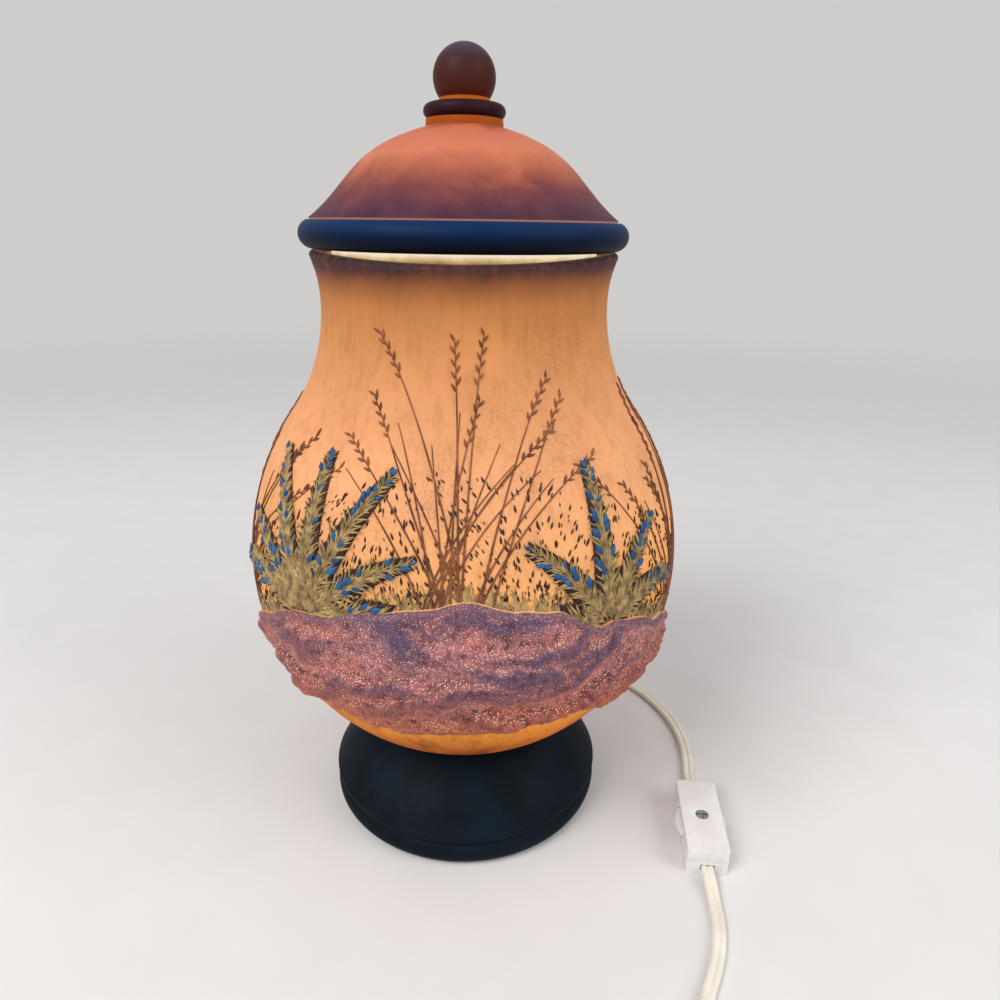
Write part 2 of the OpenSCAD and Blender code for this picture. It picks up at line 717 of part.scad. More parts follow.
// Thin jar of revolution with a foot ring and relief; its rim dips at the front and the back
module jar() {
    flare_mid = [neck_r + flare_round, neck_z];
    in_round = low_round - jar_wall;
    in_flare = flare_round + jar_wall;
    foot_turn = asin((foot_z - belly_z) / low_round);
    floor_turn = asin((floor_z - belly_z) / in_round);
    outside = concat(
        [[jar_foot_r, base_h]],
        arc(low_mid_p, low_round, foot_turn, 0, 20),
        arc(shoulder_mid_p, shoulder_round, arc_seam, shoulder_end, 14),
        arc(neck_mid, neck_round, neck_turn - arc_seam, 180, 12),
        arc(flare_mid, flare_round, 180 - arc_seam, 180 - flare_end, 6)
    );
    inside = concat(
        arc(flare_mid, in_flare, 180 - asin((rim_z - neck_z) / in_flare), 180 - arc_seam, 6),
        arc(neck_mid, neck_round + jar_wall, 180, neck_turn - arc_seam, 12),
        arc(shoulder_mid_p, shoulder_round - jar_wall, shoulder_end, arc_seam, 14),
        arc(low_mid_p, in_round, 0, floor_turn, 20)
    );
    bottom = [
        [nipple_hole_r, floor_z],
        [nipple_hole_r, foot_z],
        [jar_foot_r - jar_ring_w, foot_z],
        [jar_foot_r - jar_ring_w, base_h]
    ];
    color(bisque) {
        intersection() {
            rotate_extrude() polygon(concat(outside, inside, bottom));
            translate([0, 0, rim_z - saddle_r])
                rotate([0, 90, 0])
                    cylinder(r = saddle_r, h = 4 * belly_r, center = true, $fn = 360);
        }
        relief();
    }
}

// Lid in one casting: flange, bead, dome, collar and ball
module lid() {
    bead_round = bead_h / 2;
    bead_mid = [bead_r - bead_round, bead_z + bead_round];
    foot_pull = [dome_foot_r - dome_sweep_in, dome_foot_z + dome_sweep_up];
    shoulder_pull = [dome_shoulder_r, dome_z - dome_shoulder_drop];
    dome_out = sway([dome_foot_r, dome_foot_z], foot_pull, shoulder_pull, [plinth_r / 2, dome_z], 20);
    dome_in = sway(
        [0, dome_z - lid_wall],
        shoulder_pull - [lid_wall, lid_wall],
        foot_pull - [lid_wall, 0],
        [flange_in_r, dome_foot_z],
        16
    );
    outside = concat(
        [[flange_in_r, bead_z - flange_h], [flange_r, bead_z - flange_h], [flange_r, bead_z]],
        arc(bead_mid, bead_round, -90, 85, 16),
        dome_out,
        [[plinth_r / 2, dome_z + plinth_up / 2], [0, dome_z + plinth_up / 2]]
    );
    plinth_z = dome_z - 0.75 * lid_wall;
    collar_mid = [collar_r - collar_h / 2, collar_z + collar_h / 2];
    finial = concat(
        [[0, plinth_z], [plinth_r, plinth_z], [plinth_r, collar_z]],
        arc(collar_mid, collar_h / 2, -90, 90, 12),
        [[finial_neck_r, collar_z + collar_h], [finial_neck_r, collar_z + collar_h + finial_neck_h]],
        arc([0, ball_z], ball_r, -acos(finial_neck_r / ball_r), 90, 18)
    );
    color(lid_tan)
        difference() {
            union() {
                rotate_extrude() polygon(concat(outside, dome_in));
                rotate_extrude() polygon(finial);
            }
            translate([0, 0, dome_z - 2 * lid_wall])
                cylinder(r = finial_bore_r, h = ball_z - dome_z + 2 * lid_wall);
        }
}

// Threaded nipple that clamps the jar to the base
module nipple() {
    color(brass_yellow) translate([0, 0, nipple_z]) ring(nipple_r, nipple_bore_r, nipple_top_z - nipple_z);
}

module lower_washer() {
    color(steel_grey) translate([0, 0, low_washer_z]) ring(low_washer_r, nut_bore_r, washer_t);
}

module lower_nut() {
    color(steel_grey) nut(low_nut_z);
}

module upper_washer() {
    color(steel_grey) translate([0, 0, floor_z]) ring(high_washer_r, nut_bore_r, washer_t);
}

module upper_nut() {
    color(brass_yellow) nut(high_nut_z);
}

// Socket cap: a threaded hub that opens into a bell and a skirt
module socket_cap() {
    skirt_top = shell_z + skirt_h;
    color(brass_yellow)
        difference() {
            rotate_extrude()
                polygon([
                    [nut_bore_r, socket_z], [hub_r, socket_z], [hub_r, nipple_top_z - sheet_t],
                    [cap_r, shell_z - sheet_t], [cap_r, skirt_top], [cap_r - sheet_t, skirt_top],
                    [cap_r - sheet_t, shell_z - sheet_t / 2], [hub_r - sheet_t, nipple_top_z],
                    [nut_bore_r, nipple_top_z]
                ]);
            translate([0, 0, socket_z + hub_h / 2])
                rotate([0, 90, 0])
                    cylinder(r = set_screw_r + thread_gap, h = 2 * hub_r);
        }
}

module socket_set_screw() {
    head = 1.4;
    slot = 0.8;
    color(steel_grey)
        translate([0, 0, socket_z + hub_h / 2])
            rotate([0, 90, 0])
                difference() {
                    union() {
                        translate([0, 0, nipple_r + thread_gap])
                            cylinder(r = set_screw_r, h = hub_r - nipple_r + head);
                        translate([0, 0, hub_r + slot_gap]) cylinder(r = set_screw_r + slot, h = head);
                    }
                    translate([-slot / 2, -hub_r, hub_r + head - slot / 2]) cube([slot, 2 * hub_r, head]);
                }
}

// Outer shell of the socket, with a lip turned in at its mouth
module socket_shell() {
    lip = sheet_t + socket_gap + sleeve_t;
    color(brass_yellow)
        translate([0, 0, shell_z])
            rotate_extrude()
                polygon([
                    [shell_r - sheet_t, 0], [shell_r, 0], [shell_r, shell_h], [shell_r - lip, shell_h],
                    [shell_r - lip, shell_h - sheet_t], [shell_r - sheet_t, shell_h - sheet_t]
                ]);
}

module socket_sleeve() {
    color("#6b4a2f")
        translate([0, 0, shell_z])
            ring(sleeve_r, sleeve_r - sleeve_t, shell_h - sheet_t - socket_gap);
}

// Moulded body with flats for the terminal screws
module socket_body() {
    flat_x = body_r - terminal_r;
    color("#3a2418")
        difference() {
            translate([0, 0, body_z]) cylinder(r = body_r, h = body_h);
            for (side = [-1, 1])
                translate([side * (flat_x + body_r), 0, terminal_z - body_h / 4])
                    cube([2 * body_r, 2 * terminal_r + 2, body_h / 2 + 2 * terminal_r + 2], center = true);
        }
}

module screw_shell() {
    color(brass_yellow)
        translate([0, 0, body_top_z])
            ring(screw_shell_r + sheet_t, screw_shell_r, screw_shell_h);
}

module centre_contact() {
    spring_r = 5;
    color(brass_yellow)
        translate([0, 0, body_top_z]) {
            cylinder(r = spring_r, h = sheet_t);
            cylinder(r = spring_r - 2, h = contact_h);
        }
}

module terminal_screws() {
    slot = 0.8;
    color(brass_yellow)
        for (side = [0, 180])
            rotate([0, 0, side])
                translate([body_r - terminal_r, 0, terminal_z])
                    rotate([0, 90, 0])
                        difference() {
                            cylinder(r = terminal_r, h = terminal_r - slot);
                            translate([-slot / 2, -2 * terminal_r, terminal_r - 2 * slot])
                                cube([slot, 4 * terminal_r, slot]);
                        }
}

module socket_leads() {
    route = [
        [cord_w / 4, 0, lead_z], [cord_w / 4, 0, lead_z + 0.5], [cord_w / 4 + 2.5, 0, body_z - 1.8],
        [lead_x / 2, 0, body_z - 1.4], [lead_x - 1.5, 0, body_z - 1.2], [lead_x - 0.2, 0, body_z],
        [lead_x, 0, body_z + 1.6], [lead_x, 0, terminal_z - terminal_r - thread_gap]
    ];
    section = [for (a = [0:45:315]) lead_r * [cos(a), sin(a)]];
    color("#b5672f")
        for (side = [0, 180])
            rotate([0, 0, side]) tube(sweep(route, section, [0, 1, 0], [for (p = route) 0]));
}

// The bulb: contact, insulator, screw cap, glass, stem and filament
module bulb_contact() {
    color(steel_grey) translate([0, 0, bulb_z]) cylinder(r = bulb_cap_r / 3, h = bulb_contact_t);
}

module bulb_insulator() {
    color("#1a1a1c")
        translate([0, 0, insulator_z])
            cylinder(r1 = bulb_cap_r / 2.6, r2 = bulb_cap_r - 1.5, h = bulb_insulator_h);
}

module bulb_cap() {
    color(steel_grey)
        translate([0, 0, bulb_cap_z])
            difference() {
                cylinder(r = bulb_cap_r, h = bulb_cap_h);
                translate([0, 0, sheet_t]) cylinder(r = bulb_cap_r - sheet_t, h = bulb_cap_h);
            }
}

function glass_line(inset, steps) =
    let (neck = glass_neck_r - inset, globe = bulb_r - inset, turn = 25, reach = bulb_r / 2)
    let (joint = [globe * cos(turn), globe_z - globe * sin(turn)])
    concat(
        [[neck, glass_z]],
        sway(
            [neck, glass_z + 2 * glass_grip],
            [neck, glass_z + 2 * glass_grip + reach],
            joint - reach * [sin(turn), cos(turn)],
            joint,
            steps
        ),
        [
            for (p = arc([0, globe_z], globe, -turn, 90, 2 * steps))
                if (p[1] > joint[1] + 0.1)
                    [max(0, p[0]), p[1]]
        ]
    );

module bulb_glass() {
    inner = glass_line(glass_t, 8);
    color("#f4ead2")
        rotate_extrude()
            polygon(concat(glass_line(0, 8), [for (i = [len(inner) - 1:-1:0]) inner[i]]));
}

module bulb_stem() {
    flare_r = glass_neck_r - glass_t - socket_gap;
    rod_r = 3;
    color("#dfe6e4")
        translate([0, 0, stem_z])
            rotate_extrude()
                polygon([
                    [0, 0], [flare_r, 0], [flare_r, 1],
                    [rod_r, stem_h / 3], [rod_r, stem_h - wire_r], [0, stem_h - wire_r]
                ]);
}

module bulb_filament() {
    foot = 2;
    spread = bulb_r / 2.6;
    top_z = globe_z - 2;
    root_z = stem_top_z - wire_r;
    wire = [
        [-foot, 0, root_z], [-foot, 0, root_z + 2], [-spread, 0, top_z - 2], [-spread + 1, 0, top_z],
        [spread - 1, 0, top_z], [spread, 0, top_z - 2], [foot, 0, root_z + 2], [foot, 0, root_z]
    ];
    section = [for (a = [0:45:315]) wire_r * [cos(a), sin(a)]];
    color(steel_grey) tube(sweep(wire, section, [0, 1, 0], [for (p = wire) 0]));
}

// Bushing in the back of the base: flange, body in the wall and a tapered nose
module cord_bushing() {
    nose_r = bush_r + 0.5;
    color("#22262a")
        difference() {
            union() {
                at_back(bush_in_y) cylinder(r = bush_r, h = bush_seat_y - bush_in_y + bush_flange_t);
                at_back(bush_seat_y) cylinder(r = bush_flange_r, h = bush_flange_t);
                at_back(bush_seat_y + bush_flange_t) cylinder(r1 = nose_r, r2 = bush_r - 0.7, h = bush_nose);
            }
            translate([-slot_w / 2, bush_in_y - 1, cord_hole_z - slot_t / 2])
                cube([slot_w, bush_end_y - bush_in_y + 2, slot_t]);
        }
}

module inner_cord() {
    color(ivory)
        tube(sweep(inner_route, cord_section(), [1, 0, 0], [for (p = inner_route) 90]));
}

module cord_to_switch() {
    color(ivory)
        tube(sweep(stretch_1, cord_section(), [0, 0, 1], [for (p = stretch_1) 0]));
}

// Outline of the switch's case with round corners
module case_outline() {
    square([switch_w - 2 * switch_corner, switch_l], center = true);
    square([switch_w, switch_l - 2 * switch_corner], center = true);
    for (sx = [-1, 1], sy = [-1, 1])
        translate([sx * (switch_w / 2 - switch_corner), sy * (switch_l / 2 - switch_corner)])
            circle(r = switch_corner);
}

// Space inside the case for the cores and for the wheel
module case_hollow(from, to) {
    translate([-switch_w / 2 + switch_wall, -switch_l / 2 + switch_wall, from])
        cube([switch_w - 2 * switch_wall, switch_l - 2 * switch_wall, to - from]);
    low = max(from, wheel_z - wheel_gap / 2);
    high = min(to, wheel_z + wheel_t + wheel_gap);
    translate([0, 0, low]) cylinder(r = wheel_r + wheel_gap, h = high - low);
}

module switch_lower_case() {
    nut_pocket_r = switch_head_r / cos(30) + slot_gap;
    color(ivory)
        at_switch()
            difference() {
                union() {
                    difference() {
                        linear_extrude(height = switch_split) case_outline();
                        case_hollow(switch_floor, switch_split + 1);
                        translate([-slot_w / 2, -switch_l, switch_cord_z - slot_t / 2])
                            cube([slot_w, 2 * switch_l, slot_t]);
                    }
                    cylinder(r = post_r, h = wheel_z + wheel_t + wheel_gap / 2);
                }
                translate([0, 0, -1]) cylinder(r = switch_screw_r + thread_gap, h = switch_h);
                translate([0, 0, -1])
                    cylinder(r = nut_pocket_r, h = 1 + switch_nut_z + switch_nut_t + thread_gap);
            }
}

module switch_upper_case() {
    color(ivory)
        at_switch()
            difference() {
                translate([0, 0, switch_split]) linear_extrude(height = switch_h - switch_split) case_outline();
                case_hollow(switch_split - 1, switch_h - switch_roof);
                cylinder(r = switch_screw_r + thread_gap, h = switch_h + 1);
                translate([0, 0, switch_head_z]) cylinder(r = switch_head_r + slot_gap, h = switch_h);
            }
}

// Thumb wheel with a grooved edge, turning on the post; its cam lies in a pocket below
module cam_half(out_r, in_r, h) {
    intersection() {
        ring(out_r, in_r, h);
        translate([-out_r - 1, 0, -1]) cube([2 * out_r + 2, out_r + 1, h + 2]);
    }
}

cam_out_r = wheel_r - 4;
cam_in_r = post_r + 1;
cam_t = 0.6;

module switch_wheel() {
    groove_r = 0.6;
    color(ivory)
        at_switch()
            translate([0, 0, wheel_z])
                difference() {
                    ring(wheel_r, post_r + run_gap, wheel_t);
                    for (i = [0:wheel_grooves - 1])
                        rotate([0, 0, 360 * i / wheel_grooves])
                            translate([wheel_r + groove_r / 3, 0, -1])
                                cylinder(r = groove_r, h = wheel_t + 2, $fn = 24);
                    translate([0, 0, -cam_t])
                        cam_half(cam_out_r + thread_gap, cam_in_r - thread_gap, 2 * cam_t);
                }
}

module switch_cam() {
    color(brass_yellow)
        at_switch()
            translate([0, thread_gap, wheel_z])
                cam_half(cam_out_r, cam_in_r, cam_t);
}

module switch_screw() {
    slot = 0.7;
    color(steel_grey)
        at_switch()
            difference() {
                union() {
                    translate([0, 0, switch_nut_z])
                        cylinder(r = switch_screw_r, h = switch_head_z - switch_nut_z);
                    translate([0, 0, switch_head_z]) cylinder(r = switch_head_r, h = switch_head_h);
                }
                for (a = [0, 90])
                    rotate([0, 0, a])
                        translate([-switch_head_r, -slot / 2, switch_h - slot])
                            cube([2 * switch_head_r, slot, switch_h]);
            }
}

module switch_nut() {
    color(steel_grey)
        at_switch()
            translate([0, 0, switch_nut_z])
                difference() {
                    cylinder(r = switch_head_r / cos(30), h = switch_nut_t, $fn = 6);
                    translate([0, 0, -1]) cylinder(r = switch_screw_r + thread_gap, h = switch_nut_t + 2);
                }
}

// Two brass blades on the cut core, one to each side of the cut
module switch_contacts() {
    inner_y = 5;
    color(brass_yellow)
        at_switch()
            for (side = [-1, 1])
                translate([core_spread - core_r, side < 0 ? -core_bend_y : inner_y, blade_z])
                    cube([2 * core_r, core_bend_y - inner_y, wheel_z - blade_z - 2 * thread_gap]);
}

// The cord's two cores through the case: one whole, one cut under the wheel
function core_way(side, way) = [
    for (p = [[cord_w / 4, switch_l / 2], [cord_w / 4, switch_l / 2 - switch_wall], [core_spread, core_bend_y]])
        [side * p[0], way * p[1], switch_cord_z]
];
function core_rings(route) = sweep(
    route, [for (a = [0:45:315]) core_r * [cos(a), sin(a)]], [0, 0, 1], [for (p = route) 0]
);

module switch_leads() {
    cut = 2;
    whole = concat(core_way(-1, 1), [for (i = [2:-1:0]) core_way(-1, -1)[i]]);
    color(ivory)
        at_switch() {
            tube(core_rings(whole));
            for (way = [-1, 1])
                tube(core_rings(concat(core_way(1, way), [[core_spread, way * cut, switch_cord_z]])));
        }
}

module cord_to_coil() {
    color(ivory)
        tube(sweep(places(stretch_2), cord_section(), [0, 0, 1], turns(stretch_2)));
}

module cord_coil() {
    color(ivory) tube(coil_rings);
}

// Strap round the coil's turns on the side away from the cord's start
module coil_tie() {
    in_r = coil_in_r - cord_t / 2 - coil_gap;
    out_r = coil_in_r + coil_pitch * (coil_turns - 1) / 2 + cord_t / 2 + coil_gap;
    tall = coil_high_z + cord_w / 2 + coil_gap;
    buckle_w = 4;
    buckle_h = 2;
    color("#d8d4ca")
        translate([coil_x, coil_y, 0])
            rotate([90, 0, 0])
                linear_extrude(height = tie_w, center = true)
                    union() {
                        difference() {
                            translate([-out_r - tie_t, 0]) square([out_r - in_r + 2 * tie_t, tall + tie_t]);
                            translate([-out_r, tie_t]) square([out_r - in_r, tall - tie_t]);
                        }
                        translate([-(in_r + out_r + buckle_w) / 2, tall])
                            square([buckle_w, tie_t + buckle_h]);
                    }
}

module cord_tail() {
    color(ivory)
        tube(sweep(places(tail), cord_section(), [0, 0, 1], turns(tail)));
}

// Flat two-blade plug lying on the table: grip and tapered strain relief
module plug_body() {
    color(ivory)
        translate([plug_x, tail_end[1], plug_t / 2]) {
            rotate([0, -90, 0]) cylinder(r1 = cord_w / 2 + 1, r2 = plug_t / 2 - 0.5, h = relief_l);
            translate([-relief_l - plug_l, 0, 0])
                linear_extrude(height = plug_t, center = true)
                    polygon([
                        [0, -plug_w / 2], [plug_l * 0.6, -plug_w / 2],
                        [plug_l, -plug_t / 2], [plug_l + 4, -plug_t / 2 + 2],
                        [plug_l + 4, plug_t / 2 - 2], [plug_l, plug_t / 2],
                        [plug_l * 0.6, plug_w / 2], [0, plug_w / 2]
                    ]);
        }
}

module plug_blades() {
    hole_r = 1.6;
    color(brass_yellow)
        for (side = [-1, 1])
            translate([plug_x - relief_l - plug_l - blade_l, tail_end[1] + side * blade_gap / 2, plug_t / 2])
                difference() {
                    translate([0, -blade_t / 2, -blade_w / 2]) cube([blade_l, blade_t, blade_w]);
                    translate([3, 0, 0])
                        rotate([90, 0, 0])
                            cylinder(r = hole_r, h = 2 * blade_t, center = true);
                }
}

base_pad();
base();
jar();
lid();
nipple();
lower_washer();
lower_nut();
upper_washer();
upper_nut();
socket_cap();
socket_set_screw();
socket_shell();
socket_sleeve();
socket_body();
screw_shell();
centre_contact();
terminal_screws();
socket_leads();
bulb_contact();
bulb_insulator();
bulb_cap();
bulb_glass();
bulb_stem();
bulb_filament();
cord_bushing();
inner_cord();
cord_to_switch();
switch_lower_case();
switch_upper_case();
switch_wheel();
switch_cam();
switch_screw();
switch_nut();
switch_contacts();
switch_leads();
cord_to_coil();
cord_coil();
coil_tie();
cord_tail();
plug_body();
plug_blades();
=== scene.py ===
# %% [markdown]
# # A lit ceramic jar lamp
# This lesson dresses a lamp whose working parts are already modelled: a thin bisque jar with a lid,
# a turned base, a bulb and its socket, a flat cord, an in-line switch and a plug. The working parts
# come in as a fixed frame. Everything made here is placed in that frame, in metres, and rides on it.

# %% Load the frame
import math
import random

import bmesh
import bpy
from mathutils import Matrix, Vector, noise


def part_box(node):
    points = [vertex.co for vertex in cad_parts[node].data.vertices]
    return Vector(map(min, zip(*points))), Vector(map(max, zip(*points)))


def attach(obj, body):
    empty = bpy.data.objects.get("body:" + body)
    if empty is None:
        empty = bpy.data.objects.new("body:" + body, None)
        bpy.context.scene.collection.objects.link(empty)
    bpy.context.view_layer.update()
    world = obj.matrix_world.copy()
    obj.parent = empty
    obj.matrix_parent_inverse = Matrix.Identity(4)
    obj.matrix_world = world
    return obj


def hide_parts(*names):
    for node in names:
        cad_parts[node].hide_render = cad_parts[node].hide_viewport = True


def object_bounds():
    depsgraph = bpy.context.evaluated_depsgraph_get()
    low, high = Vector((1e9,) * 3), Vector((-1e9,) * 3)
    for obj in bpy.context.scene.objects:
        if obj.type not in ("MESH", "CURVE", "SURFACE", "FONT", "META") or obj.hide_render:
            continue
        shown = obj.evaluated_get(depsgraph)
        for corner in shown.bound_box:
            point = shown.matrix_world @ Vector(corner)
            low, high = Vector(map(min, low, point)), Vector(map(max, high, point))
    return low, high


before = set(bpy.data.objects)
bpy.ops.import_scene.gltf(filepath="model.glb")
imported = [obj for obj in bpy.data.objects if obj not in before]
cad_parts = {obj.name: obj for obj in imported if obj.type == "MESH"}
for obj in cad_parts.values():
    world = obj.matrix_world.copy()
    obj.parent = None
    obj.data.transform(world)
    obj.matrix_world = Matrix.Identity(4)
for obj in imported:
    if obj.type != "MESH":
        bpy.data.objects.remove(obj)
cad_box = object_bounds()
MM = 0.001
scene = bpy.context.scene

# %% [markdown]
# ## Camera
# The photograph was taken from close by with a wide lens, a little above the lid's edge, looking down.
# A real lens is described by its focal length in pixels, so the sensor width turns that into
# millimetres. The small roll is the photographer's hand.

# %% Camera
FRAME_PX = 1000
FOCAL_PX = 735
SENSOR_MM = 36
EYE = Vector((14.3, -288.6, 246.6)) * MM
PITCH_DOWN = math.radians(20.51)
ROLL = math.radians(0.8)

camera_data = bpy.data.cameras.new("photo_camera")
camera_data.sensor_width = SENSOR_MM
camera_data.lens = SENSOR_MM * FOCAL_PX / FRAME_PX
camera_data.clip_start = 0.01
camera = bpy.data.objects.new("photo_camera", camera_data)
look = Matrix.Rotation(math.pi / 2 - PITCH_DOWN, 4, "X") @ Matrix.Rotation(ROLL, 4, "Z")
camera.matrix_world = Matrix.Translation(EYE) @ look
scene.collection.objects.link(camera)
scene.camera = camera
print("lens:", round(camera_data.lens, 2), "mm")

# %% [markdown]
# ## Colours and nodes
# Colours are read off a screen as sRGB hex, while shaders work in linear light, so one function turns
# one into the other. A second one fills the inputs of any node, and a third adds a node with its
# settings and inputs in one line, which keeps a material readable from top to bottom. A list fills the
# inputs in their own order: a Map Range takes the value, the two ends that it comes from and the two
# that it goes to. A fourth function starts a material and sets its plain values.

# %% Colours


def rgb(code):
    """Linear colour of an sRGB hex code."""
    parts = [int(code[i:i + 2], 16) / 255 for i in (1, 3, 5)]
    linear = [c / 12.92 if c <= 0.04045 else ((c + 0.055) / 1.055) ** 2.4 for c in parts]
    return (*linear, 1.0)


print("mid grey in linear light:", [round(c, 3) for c in rgb("#808080")])

# %% Nodes and materials


def connect(tree, node, inputs):
    """Fills a node's inputs, by name or as a list in its own order, with plain values, nodes or sockets."""
    pairs = inputs.items() if isinstance(inputs, dict) else enumerate(inputs)
    for key, value in pairs:
        if isinstance(value, bpy.types.Node):
            value = next(socket for socket in value.outputs if socket.enabled)
        if isinstance(value, bpy.types.NodeSocket):
            tree.links.new(value, node.inputs[key])
        else:
            node.inputs[key].default_value = value


def add(tree, kind, inputs=None, stops=None, **settings):
    """Adds a node with its settings and inputs; stops are a ramp's (place, hex) pairs."""
    node = tree.nodes.new(kind)
    for key, value in settings.items():
        setattr(node, key, value)
    connect(tree, node, inputs or {})
    for i, (place, code) in enumerate(stops or []):
        band = node.color_ramp.elements
        element = band[i] if i < len(band) else band.new(place)
        element.position, element.color = place, rgb(code)
    return node


def finish(name, **plain):
    """A material, its tree, its shader and the object coordinates, with plain values on the shader."""
    material = bpy.data.materials.new(name)
    material.use_nodes = True
    tree = material.node_tree
    shader = tree.nodes["Principled BSDF"]
    for key, value in plain.items():
        shader.inputs[key.replace("_", " ")].default_value = value
    return material, tree, shader, add(tree, "ShaderNodeTexCoord").outputs["Object"]


def per_mm(size):
    """Scale of a pattern whose features are about size millimetres across."""
    return 1 / (size * MM)


print("scale of a 2 mm pattern:", round(per_mm(2)))

# %% [markdown]
# ## Plain materials, ivory PVC first
# Hardly anything is one flat colour. Plastics, metals and stains wander a little between two tones, and a
# fine tooth on them catches the light. One recipe serves all of them. The tooth is drawn coarser than
# the real one, so that it shows, and a stretch pulls it into the lines of a brush or a die. The cord,
# the switch and the plug use it first. They are extruded or moulded plastic: a slightly warm white with
# a low gloss, and soft, yellower patches about a finger wide where hands have been.

# %% Ivory PVC


def two_tone(name, dark, light, size, tooth_mm, tooth_depth, stretch=(1, 1, 1), strength=0.5,
             ends=(0.33, 0.68), wander=(4.0, 0.5), tooth_detail=3.0, **plain):
    """A finish that wanders between two tones over size millimetres. What glows does so in its own colour."""
    material, tree, shader, place = finish(name, **plain)
    clouds = add(tree, "ShaderNodeTexNoise",
                 {"Vector": place, "Scale": per_mm(size), "Detail": wander[0], "Roughness": wander[1]})
    colour = add(tree, "ShaderNodeValToRGB", {"Fac": clouds}, zip(ends, (dark, light)))
    pulled = add(tree, "ShaderNodeMapping", {"Vector": place, "Scale": stretch})
    tooth = add(tree, "ShaderNodeTexNoise",
                {"Vector": pulled, "Scale": per_mm(tooth_mm), "Detail": tooth_detail})
    relief = add(tree, "ShaderNodeBump",
                 {"Height": tooth, "Distance": tooth_depth * MM, "Strength": strength})
    connect(tree, shader, {"Base Color": colour, "Normal": relief})
    if "Emission_Strength" in plain:
        connect(tree, shader, {"Emission Color": colour})
    return material


IVORY = {"size": 14, "tooth_mm": 0.9, "tooth_depth": 0.05, "strength": 0.35, "ends": (0.3, 0.65),
         "wander": (5.0, 0.6), "IOR": 1.53}
CORD_PVC = two_tone("extruded_ivory_pvc", "#d8d0bf", "#e9e4d8", Roughness=0.42, **IVORY)
SWITCH_UREA = two_tone("moulded_white_urea", "#d3d0ce", "#e6e4e2", Roughness=0.35, **IVORY)
PLUG_PVC = two_tone("moulded_ivory_pvc", "#d2cbbb", "#e6e1d4", Roughness=0.48, **IVORY)
print("plastics:", [m.name for m in (CORD_PVC, SWITCH_UREA, PLUG_PVC)])

# %% [markdown]
# ## The cord
# The lamp's cord is flat: two insulated cores side by side with a thin web between them. It leaves the
# base at the back, comes round the right side on the floor to the switch, and goes on past the edge of
# the photograph, where the rest of it is put away in a tied coil beside the plug. A curve with a round
# bevel can't show the two ridges, so a section is swept along the route as a mesh. The points are the
# same ones that the solid cord has.

# %% The cord's sizes
CORD_W = 5.3
CORD_T = 2.7
LIE = CORD_T / 2
HOLE_Z = 13
BUSH_END_Y = 75
SWITCH_AT = Vector((102.5, -41, 0))
SWITCH_TURN = math.radians(-5.5)
SWITCH_L = 40.5
SWITCH_CORD_Z = 3.2
COIL_AT = Vector((40, -165, 0))
COIL_MID_R = 31
COIL_TURNS = 7.25
COIL_GAP = 0.7
COIL_PITCH = CORD_T + COIL_GAP
COIL_IN_R = COIL_MID_R - COIL_PITCH * COIL_TURNS / 4
COIL_OUT_R = COIL_MID_R + COIL_PITCH * COIL_TURNS / 4
TIE_T = 0.8
COIL_LOW_Z = TIE_T + COIL_GAP + CORD_W / 2
COIL_HIGH_Z = COIL_LOW_Z + CORD_W + COIL_GAP
PLUG_X = 8
PLUG_T = 14
print("coil:", round(COIL_IN_R, 2), "to", round(COIL_OUT_R, 2), "mm")

# %% Places on the cord's routes


def at_switch(x, y, z):
    """A place in the lamp's frame from one in the switch's own frame, in millimetres."""
    turned = Matrix.Rotation(SWITCH_TURN, 4, "Z") @ Vector((x, y, z))
    return turned + SWITCH_AT


def ease(t):
    """0 to 1 with a level start and end."""
    t = min(1.0, max(0.0, t))
    return t * t * (3 - 2 * t)


def coil_point(turn):
    """A point of the coil: in and out again, climbing a layer in the half turn between."""
    from_middle = turn - COIL_TURNS / 2
    r = COIL_IN_R + COIL_PITCH * abs(from_middle)
    climb = min(1.0, max(0.0, 2 * from_middle + 0.5))
    z = COIL_LOW_Z + (COIL_HIGH_Z - COIL_LOW_Z) * climb
    angle = -2 * math.pi * turn
    return (COIL_AT.x + r * math.cos(angle), COIL_AT.y + r * math.sin(angle), z, 90)


print("the coil starts at:", [round(c, 1) for c in coil_point(0)[:3]])

# %% The cord's routes
FLOOR_POINTS = [
    (27, 106.7), (37, 106.7), (47, 105), (57, 101), (66, 95), (74.5, 88), (82.5, 79), (90, 69),
    (96.5, 60.5), (101.5, 51), (106, 40), (108.5, 28), (109, 16), (108, 5), (106, -6),
]
to_switch = [(0, BUSH_END_Y, HOLE_Z, 0), (0, BUSH_END_Y + CORD_W, HOLE_Z, 0)]
to_switch += [(1, 88, 11.5, 0), (4.5, 95, 8.5, 0), (10, 101, 5, 0), (18, 105, 2.5, 0)]
to_switch += [(x, y, LIE, 0) for x, y in FLOOR_POINTS]
to_switch += [(*at_switch(0, SWITCH_L / 2 + d, SWITCH_CORD_Z), 0) for d in (CORD_W, 0)]

to_coil = [(*at_switch(0, -SWITCH_L / 2 - d, SWITCH_CORD_Z), 0) for d in (0, CORD_W)]
to_coil += [
    (99.8, -75, LIE, 0), (98.8, -85, LIE, 0), (96.5, -94, LIE, 0), (93, -102.5, LIE, 0),
    (89, -110, LIE, 5), (85, -118, 1.8, 25), (81.5, -127, 2.6, 50), (79, -137, 3.4, 75),
    (77.5, -147, COIL_LOW_Z, 90),
]
to_coil += [(COIL_AT.x + COIL_OUT_R, COIL_AT.y + d, COIL_LOW_Z, 90) for d in (2 * CORD_W, CORD_W)]
RINGS_A_TURN = 48
coil = [coil_point(i / RINGS_A_TURN) for i in range(int(COIL_TURNS * RINGS_A_TURN) + 1)]
